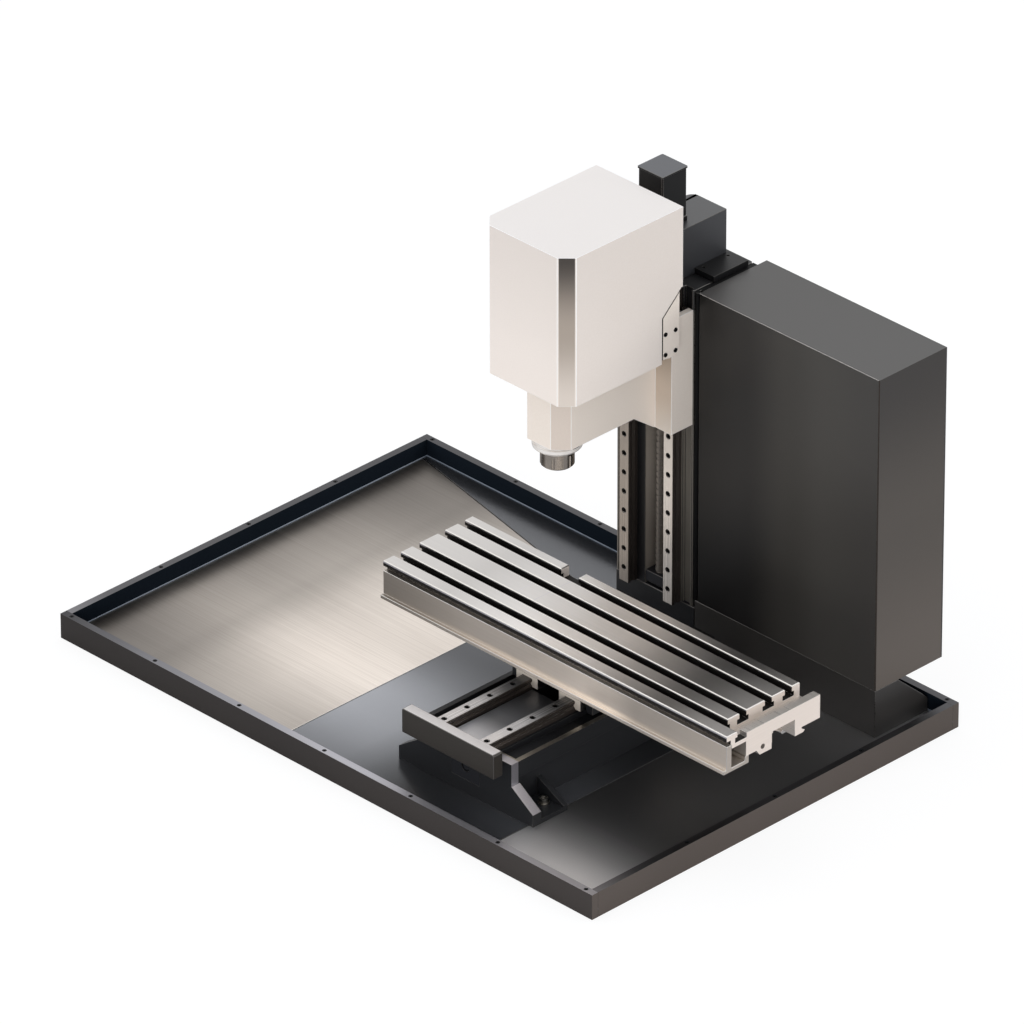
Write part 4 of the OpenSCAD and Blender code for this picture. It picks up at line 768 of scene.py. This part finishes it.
# %% Faces of the cabinet
shell = finished["cabinet_shell"]
paint_faces(shell, "cabinet_front", lambda c, n: n.y < -FACING)
paint_faces(shell, "cabinet_side", lambda c, n: n.x > FACING)
paint_faces(shell, "edge_painted_highlight", lambda c, n: n.z > LEANING and n.y < -LEANING, edges_too=True)
paint_faces(shell, "gap_dark", lambda c, n: (n.x > LEANING and (n.y < -LEANING or n.z > LEANING)),
            edges_too=True)

# %% [markdown]
# The rim's outer side, inner side and two kinds of top each have a tone, which paints in the light,
# shade and reflection that each gets. Where the inner side meets the plates a painted highlight marks
# the fold as a thin bright line, so two cuts first mark it off.

# %% Faces of the tray's rim
FOLD = 0.002  # height of the painted highlight along the fold
rim = finished["tray_rim"]
low_r, high_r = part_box("tray_rim")
rim_w = high_r.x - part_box("tray_floor")[1].x
deck_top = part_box("deck_plate_steel")[1].z


def inner_side(c, n):
    return abs(n.z) < UPRIGHT and abs(c.x) < high_r.x - SKIN and abs(c.y) < high_r.y - SKIN


paint_faces(rim, "rim_side", lambda c, n: n.x > FACING and c.x > high_r.x - SKIN)
paint_faces(rim, "rim_inside", inner_side)
for level in (deck_top, deck_top + FOLD):
    cut_faces(rim, (0.0, 0.0, level), UP)
paint_faces(rim, "rim_fold_painted_highlight", lambda c, n: inner_side(c, n) and deck_top < c.z < deck_top + FOLD)
paint_faces(rim, "rim_front_top", lambda c, n: n.z > FACING and c.y < low_r.y + rim_w)
paint_faces(rim, "rim_side_top", lambda c, n: n.z > FACING and c.y > low_r.y + rim_w)

# %% [markdown]
# Under the cover the head casting steps back from the cheek, and the step is painted darker upwards, as
# the cover's shadow on it. The corners of its arm are chamfered, and the chamfers are painted a little
# darker, as the shade they get.

# %% Faces of the head
STEP_X, STEP_Y = 0.09, 0.2  # the step lies to the right of and behind these
HALF_WAY, SLACK = math.sqrt(0.5), 0.03  # how much a face at 45 degrees looks each of two ways
LEAST = 0.6  # faces that look less to the front aren't chamfers


def cut_corner(n):
    """A corner's chamfer looks half to the front and half aside."""
    return n.y < -LEAST and abs(abs(n.x) - HALF_WAY) < SLACK


low_h, cover_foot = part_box("head_casting")[0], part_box("head_cover")[0].z
M["head_step_painted_shadow"] = graded("head_step_painted_shadow", "Z", (low_h.z, cover_foot), (0.35, 0.45),
                        (0.0, "e0d5c8"), (0.5, "cfbfae"), (1.0, "b3a392"))
paint_faces(finished["head_casting"], "arm_chamfer", lambda c, n: cut_corner(n))
paint_faces(finished["head_casting"], "head_step_painted_shadow",
            lambda c, n: n.y < -FACING and c.x > STEP_X and c.y > STEP_Y)
# painted light on the cover's top
paint_faces(finished["head_cover"], "cover_top", lambda c, n: n.z > FACING)

# %% [markdown]
# The cover is notched round its brackets, and the joint casts a thin shadow on them, painted on as a
# dark line. The line follows the notch, up its front edge and along its slope, so the brackets are cut
# along both and painted between the cut and the cover.

# %% Painted shadow along the cover's notch
NOTCH_Z, NOTCH_BEHIND = 0.0755, 0.1  # height of the notch's upright edge, which lies behind this
NOTCH_RUN, NOTCH_RISE = 0.039, 0.0365  # the slope above it
SHADOW_UP, SHADOW_SLANT = 0.004, 0.0045  # width of the painted shadow beside the edge and beside the slope

cover = finished["head_cover"]
low_c, high_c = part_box("head_cover")
notch_y = min(v.co.y for v in frame["nodes"]["head_cover"].data.vertices
              if v.co.x > high_c.x - SKIN and abs(v.co.z - low_c.z - NOTCH_Z) < SKIN
              and v.co.y > NOTCH_BEHIND)
slant = Vector((0.0, NOTCH_RISE, -NOTCH_RUN)).normalized()
turn = Vector((0.0, notch_y, low_c.z + NOTCH_Z))
brackets = finished["cover_brackets"]
cut_faces(brackets, (0.0, notch_y + SHADOW_UP, 0.0), BACK)
cut_faces(brackets, turn + slant * SHADOW_SLANT, slant)
paint_faces(brackets, "gap_dark", lambda c, n: (abs(n.x) > FACING and (
    c.y < notch_y + SHADOW_UP or (c - turn).dot(slant) < SHADOW_SLANT)))

# %% [markdown]
# The cover is folded from sheet, and each cut front corner carries a painted reflection, a band that is
# light below and dark above. The cover's cut corner is divided by two upright cuts, and the part between
# them gets the painted band.

# %% Painted reflection on the cover's corners
CORNER_SIDE = 0.0008  # white sheet left on each side of the painted band
MIDDLE = 0.004  # the painted band's own middle lies this close to the corner's
NEAR, BIG = 0.05, 0.002  # one corner's faces lie closer (metres) and are larger (square metres)
SAME_WAY = 0.999  # the normals of faces in one plane agree to this

M["corner_painted_reflection"] = graded("corner_painted_reflection", "Z", (low_c.z, high_c.z), (0.3, 0.4),
                           (0.0, "dbd0c5"), (0.5, "a89c90"), (1.0, "433d38"))
corners = [(f.center.copy(), f.normal.copy(), Vector((-f.normal.y, f.normal.x, 0.0)))
           for f in cover.data.polygons if f.area > BIG and cut_corner(f.normal)]
for middle, out_way, along in corners:
    reach = 0.0
    for f in cover.data.polygons:
        flat = abs(f.normal.dot(out_way)) > SAME_WAY  # the sheet's inner side counts too
        if flat and (f.center - middle).length < NEAR and f.area > BIG:
            reach = max(abs((cover.data.vertices[v].co - middle).dot(along)) for v in f.vertices)
    for side in (-1, 1):
        cut_faces(cover, middle + along * side * (reach - CORNER_SIDE), along)
    print("corner strip", round(2 * (reach - CORNER_SIDE), 4), "m wide")


def on_painted_corner(c, n):
    return any(n.dot(out_way) > SAME_WAY and abs((c - middle).dot(out_way)) < SKIN / 10
               and abs((c - middle).dot(along)) < MIDDLE for middle, out_way, along in corners)


paint_faces(cover, "corner_painted_reflection", on_painted_corner, edges_too=True)

# %% [markdown]
# ## Screws
# All screws here have a hexagon socket. One is modelled for each size: a short cylinder, a rounded
# head, and a hexagonal pocket that a cutter takes out. Then it is copied to every place that the CAD
# model gives, and turned the way its hole points.

# %% One socket screw
ROUND_HEAD, HEAD_SHARP = 0.06, 60.0  # edge radius as a share of the head's width, and degrees


def settle():
    """Writes the active object's place, turn and size into its mesh."""
    bpy.ops.object.transform_apply(location=True, rotation=True, scale=True)


def socket_screw(name, head_d, length, pocket):
    """A screw whose head's top lies at the origin and looks along +Z."""
    bpy.ops.mesh.primitive_cylinder_add(vertices=28, radius=head_d / 2, depth=length,
                                        location=(0.0, 0.0, -length / 2))
    body = bpy.context.active_object
    body.name = name
    settle()
    break_edges(body, head_d * ROUND_HEAD, angle=HEAD_SHARP)
    bpy.ops.mesh.primitive_cylinder_add(vertices=6, radius=pocket / 2, depth=length / 2,
                                        location=(0.0, 0.0, 0.0))
    cutter = bpy.context.active_object
    pocket_cut = body.modifiers.new("pocket", "BOOLEAN")
    pocket_cut.operation = "DIFFERENCE"
    pocket_cut.object = cutter
    pocket_cut.solver = "EXACT"
    bake(body, pocket_cut)
    only(cutter)
    bpy.ops.object.delete()
    return body


def islands(node):
    """The boxes of a node's separate solids."""
    edit_whole(plain_copy(node, "work"), lambda: bpy.ops.mesh.separate(type="LOOSE"))
    parts = list(bpy.context.selected_objects)
    boxes = [[Vector([end(c[i] for c in o.bound_box) for i in range(3)]) for end in (min, max)]
             for o in parts]
    only(*parts)
    bpy.ops.object.delete()
    return boxes


print("the tray's rim has", len(islands("rim_screws")), "screws")

# %% [markdown]
# The rim's screws are countersunk flush, the rails' sit deep in their holes, and the ones of the
# brackets and of the rear panel look sideways and to the back. The copies of one kind are joined to
# one piece, since they stand for one node.

# %% Put the screws in their holes
MM = 0.001
FRONT = (0.0, -1.0, 0.0)
scene.cursor.location = (0.0, 0.0, 0.0)


def screws(node, head_d, length, pocket, way):
    """Sizes are in millimetres; way(box centre) is the direction that the head looks to."""
    model = socket_screw(node + "_model", head_d * MM, length * MM, pocket * MM)
    copies = []
    for low, high in islands(node):
        middle = (low + high) / 2
        out_way = Vector(way(middle))
        head_top = middle + Vector([out_way[i] * (high[i] - low[i]) / 2 for i in range(3)])
        only(model)
        bpy.ops.object.duplicate(linked=False)
        copy = bpy.context.active_object
        copy.rotation_euler = out_way.to_track_quat("Z", "Y").to_euler()
        copy.location = head_top
        settle()
        copies.append(copy)
    only(model)
    bpy.ops.object.delete()
    only(*copies)
    bpy.ops.object.join()
    piece = bpy.context.active_object
    piece.name = piece.data.name = node + "_finished"
    bpy.ops.object.origin_set(type="ORIGIN_CURSOR")
    put_on(piece, slot_of[node])
    place(piece, node)
    print(node, len(copies), "screws")


RAIL_DEPTH = 0.02
upright_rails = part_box("z_rail_left")[1].y - RAIL_DEPTH  # screws behind this hold these rails
screws("rim_screws", 6.2, 13.6, 3.4, lambda c: UP)
screws("rail_screws", 8.6, 16.5, 5.2, lambda c: FRONT if c.y > upright_rails else UP)
screws("bracket_screws", 6.8, 9.6, 4.2, lambda c: (1.0 if c.x > middle_x else -1.0, 0.0, 0.0))
screws("cabinet_screws", 7.2, 12.9, 4.2, lambda c: BACK)

# %% [markdown]
# ## Ball screws
# A ball screw's groove is rolled or ground as one long helix with a lead of 10 mm. Here the helix is
# the land between the turns of the groove: a small section is spun up along the axis, once round for
# each lead, and its open ends are closed. The shaft inside it is a cylinder as deep as the groove.

# %% Three threaded shafts
LEAD = 0.01
LAND = 0.0062  # width of the land that the groove leaves
GROOVE = 0.0011  # depth of the groove
STEPS = 20  # faces in one turn of the helix
PLAIN = 3  # turns without thread at the ends
THREAD_SMOOTH = 35.0  # degrees


def ball_screw(node, way):
    low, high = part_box(node)
    axis = max(range(3), key=lambda i: high[i] - low[i])
    length = high[axis] - low[axis]
    radius = (high[(axis + 1) % 3] - low[(axis + 1) % 3]) / 2
    bpy.ops.mesh.primitive_cylinder_add(vertices=32, radius=radius - GROOVE, depth=length,
                                        location=(0.0, 0.0, 0.0))
    shaft = bpy.context.active_object
    bpy.ops.mesh.primitive_plane_add(size=1.0, location=(radius - GROOVE, 0.0, -length / 2 + LEAD),
                                     rotation=(math.pi / 2, 0.0, 0.0))
    land = bpy.context.active_object
    bpy.ops.transform.resize(value=(2 * GROOVE, 1.0, LAND))
    settle()
    helix = land.modifiers.new("helix", "SCREW")
    helix.axis = "Z"
    helix.angle = 2 * math.pi
    helix.screw_offset = LEAD
    helix.iterations = int((length - PLAIN * LEAD) / LEAD)
    helix.steps = helix.render_steps = STEPS
    helix.use_merge_vertices = False
    print(node, helix.iterations, "turns of thread")
    bake(land, helix)
    edit_whole(land, lambda: bpy.ops.mesh.remove_doubles(threshold=MERGE),
               lambda: bpy.ops.mesh.fill_holes(sides=6),
               lambda: bpy.ops.mesh.normals_make_consistent(inside=False))
    only(shaft, land)
    bpy.ops.object.join()
    piece = bpy.context.active_object
    piece.name = piece.data.name = node + "_threaded"
    piece.rotation_euler = Vector(way).to_track_quat("Z", "Y").to_euler()
    piece.location = (low + high) / 2
    settle()
    bpy.ops.object.shade_smooth_by_angle(angle=math.radians(THREAD_SMOOTH))
    put_on(piece, slot_of[node])
    place(piece, node)
    return piece


y_thread = ball_screw("y_screw", BACK)
y_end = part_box("y_screw")[0].y + SKIN
paint_faces(y_thread, "bearing_dark", lambda c, n: n.y < -FACING and c.y < y_end, edges_too=True)
ball_screw("x_screw", RIGHT)
ball_screw("z_screw", UP)

# %% [markdown]
# Two fine lines are scribed across the middle strips of the table, in line with the notch in its
# rear strip. Each is a pair of cuts that lie a hair apart, and the sliver between them is dark.

# %% Scribed lines on the table
SCRIBE = 0.0007
NOTCH = (-0.149, -0.114)  # the notch's sides, from the table's middle
FRONT_STRIP, REAR_EDGE = 0.05, 0.012  # left free in front and at the rear

lines = [(low_t.x + high_t.x) / 2 + side for side in NOTCH]
strip_rows = [f.center.y for f in table.data.polygons if on_top(f.center, f.normal)]
first_y, last_y = low_t.y + FRONT_STRIP, max(strip_rows) - REAR_EDGE
for x in lines:
    for side in (-0.5, 0.5):
        cut_faces(table, (x + side * SCRIBE, 0.0, 0.0), RIGHT)
paint_faces(table, "machined_dark",
            lambda c, n: (any(abs(c.x - x) < 0.4 * SCRIBE for x in lines) and on_top(c, n)
                          and first_y < c.y < last_y), edges_too=True)
print("lines at", [round(x, 4) for x in lines])

# %% [markdown]
# A wide face next to a rounded edge would shade as if it were domed. Its normals are weighted by
# area instead, so that flat faces stay flat and only the narrow edges turn. This comes after every
# cut, because a new cut brings new corners with normals of their own.

# %% Keep the flat faces flat
for piece in finished.values():
    weights = piece.modifiers.new("weights", "WEIGHTED_NORMAL")
    weights.keep_sharp = True
    weights.weight = 100
    bake(piece, weights)
print("flat faces kept flat on", len(finished), "pieces")

# %% [markdown]
# ## Floor
# A product photograph stands on a white sweep that almost vanishes. The floor is pale and matt and
# takes the machine's soft shadow. To the camera it glows for the most part, so it is as white as the
# background. In a mirror it is dimmed, because ground steel would otherwise show it as a bright sheet.

# %% Floor that keeps the shadow
FLOOR_SIZE, PALE, MATT = 40.0, (0.86, 0.86, 0.86, 1.0), 0.9
GLOW, GLOW_SHARE, MIRROR_LOSS = 1.08, 0.8, 0.45

bpy.ops.mesh.primitive_plane_add(size=FLOOR_SIZE, location=(0.0, 0.0, -HALF_SKIN))
floor = bpy.context.active_object
floor.name = "studio_floor"
ground = bpy.data.materials.new("pale_floor")
ground.use_nodes = True
tree = ground.node_tree
pale = tree.nodes["Principled BSDF"]
feed(tree, pale, {"Base Color": PALE, "Roughness": MATT})
eye = add(tree, "ShaderNodeLightPath").outputs
share = add(tree, "ShaderNodeMath", {0: eye["Is Camera Ray"], 1: GLOW_SHARE}, operation="MULTIPLY")
loss = add(tree, "ShaderNodeMath", {0: eye["Is Glossy Ray"], 1: MIRROR_LOSS}, operation="MULTIPLY")
glow = add(tree, "ShaderNodeEmission", {"Strength": GLOW})
black = add(tree, "ShaderNodeEmission", {"Strength": 0.0})
dimmed = add(tree, "ShaderNodeMixShader", {0: loss.outputs[0], 1: pale.outputs[0], 2: black.outputs[0]})
mixed = add(tree, "ShaderNodeMixShader", {0: share.outputs[0], 1: dimmed.outputs[0], 2: glow.outputs[0]})
feed(tree, tree.nodes["Material Output"], {"Surface": mixed.outputs[0]})
floor.data.materials.append(ground)
print("floor", floor.dimensions.x, "m wide")
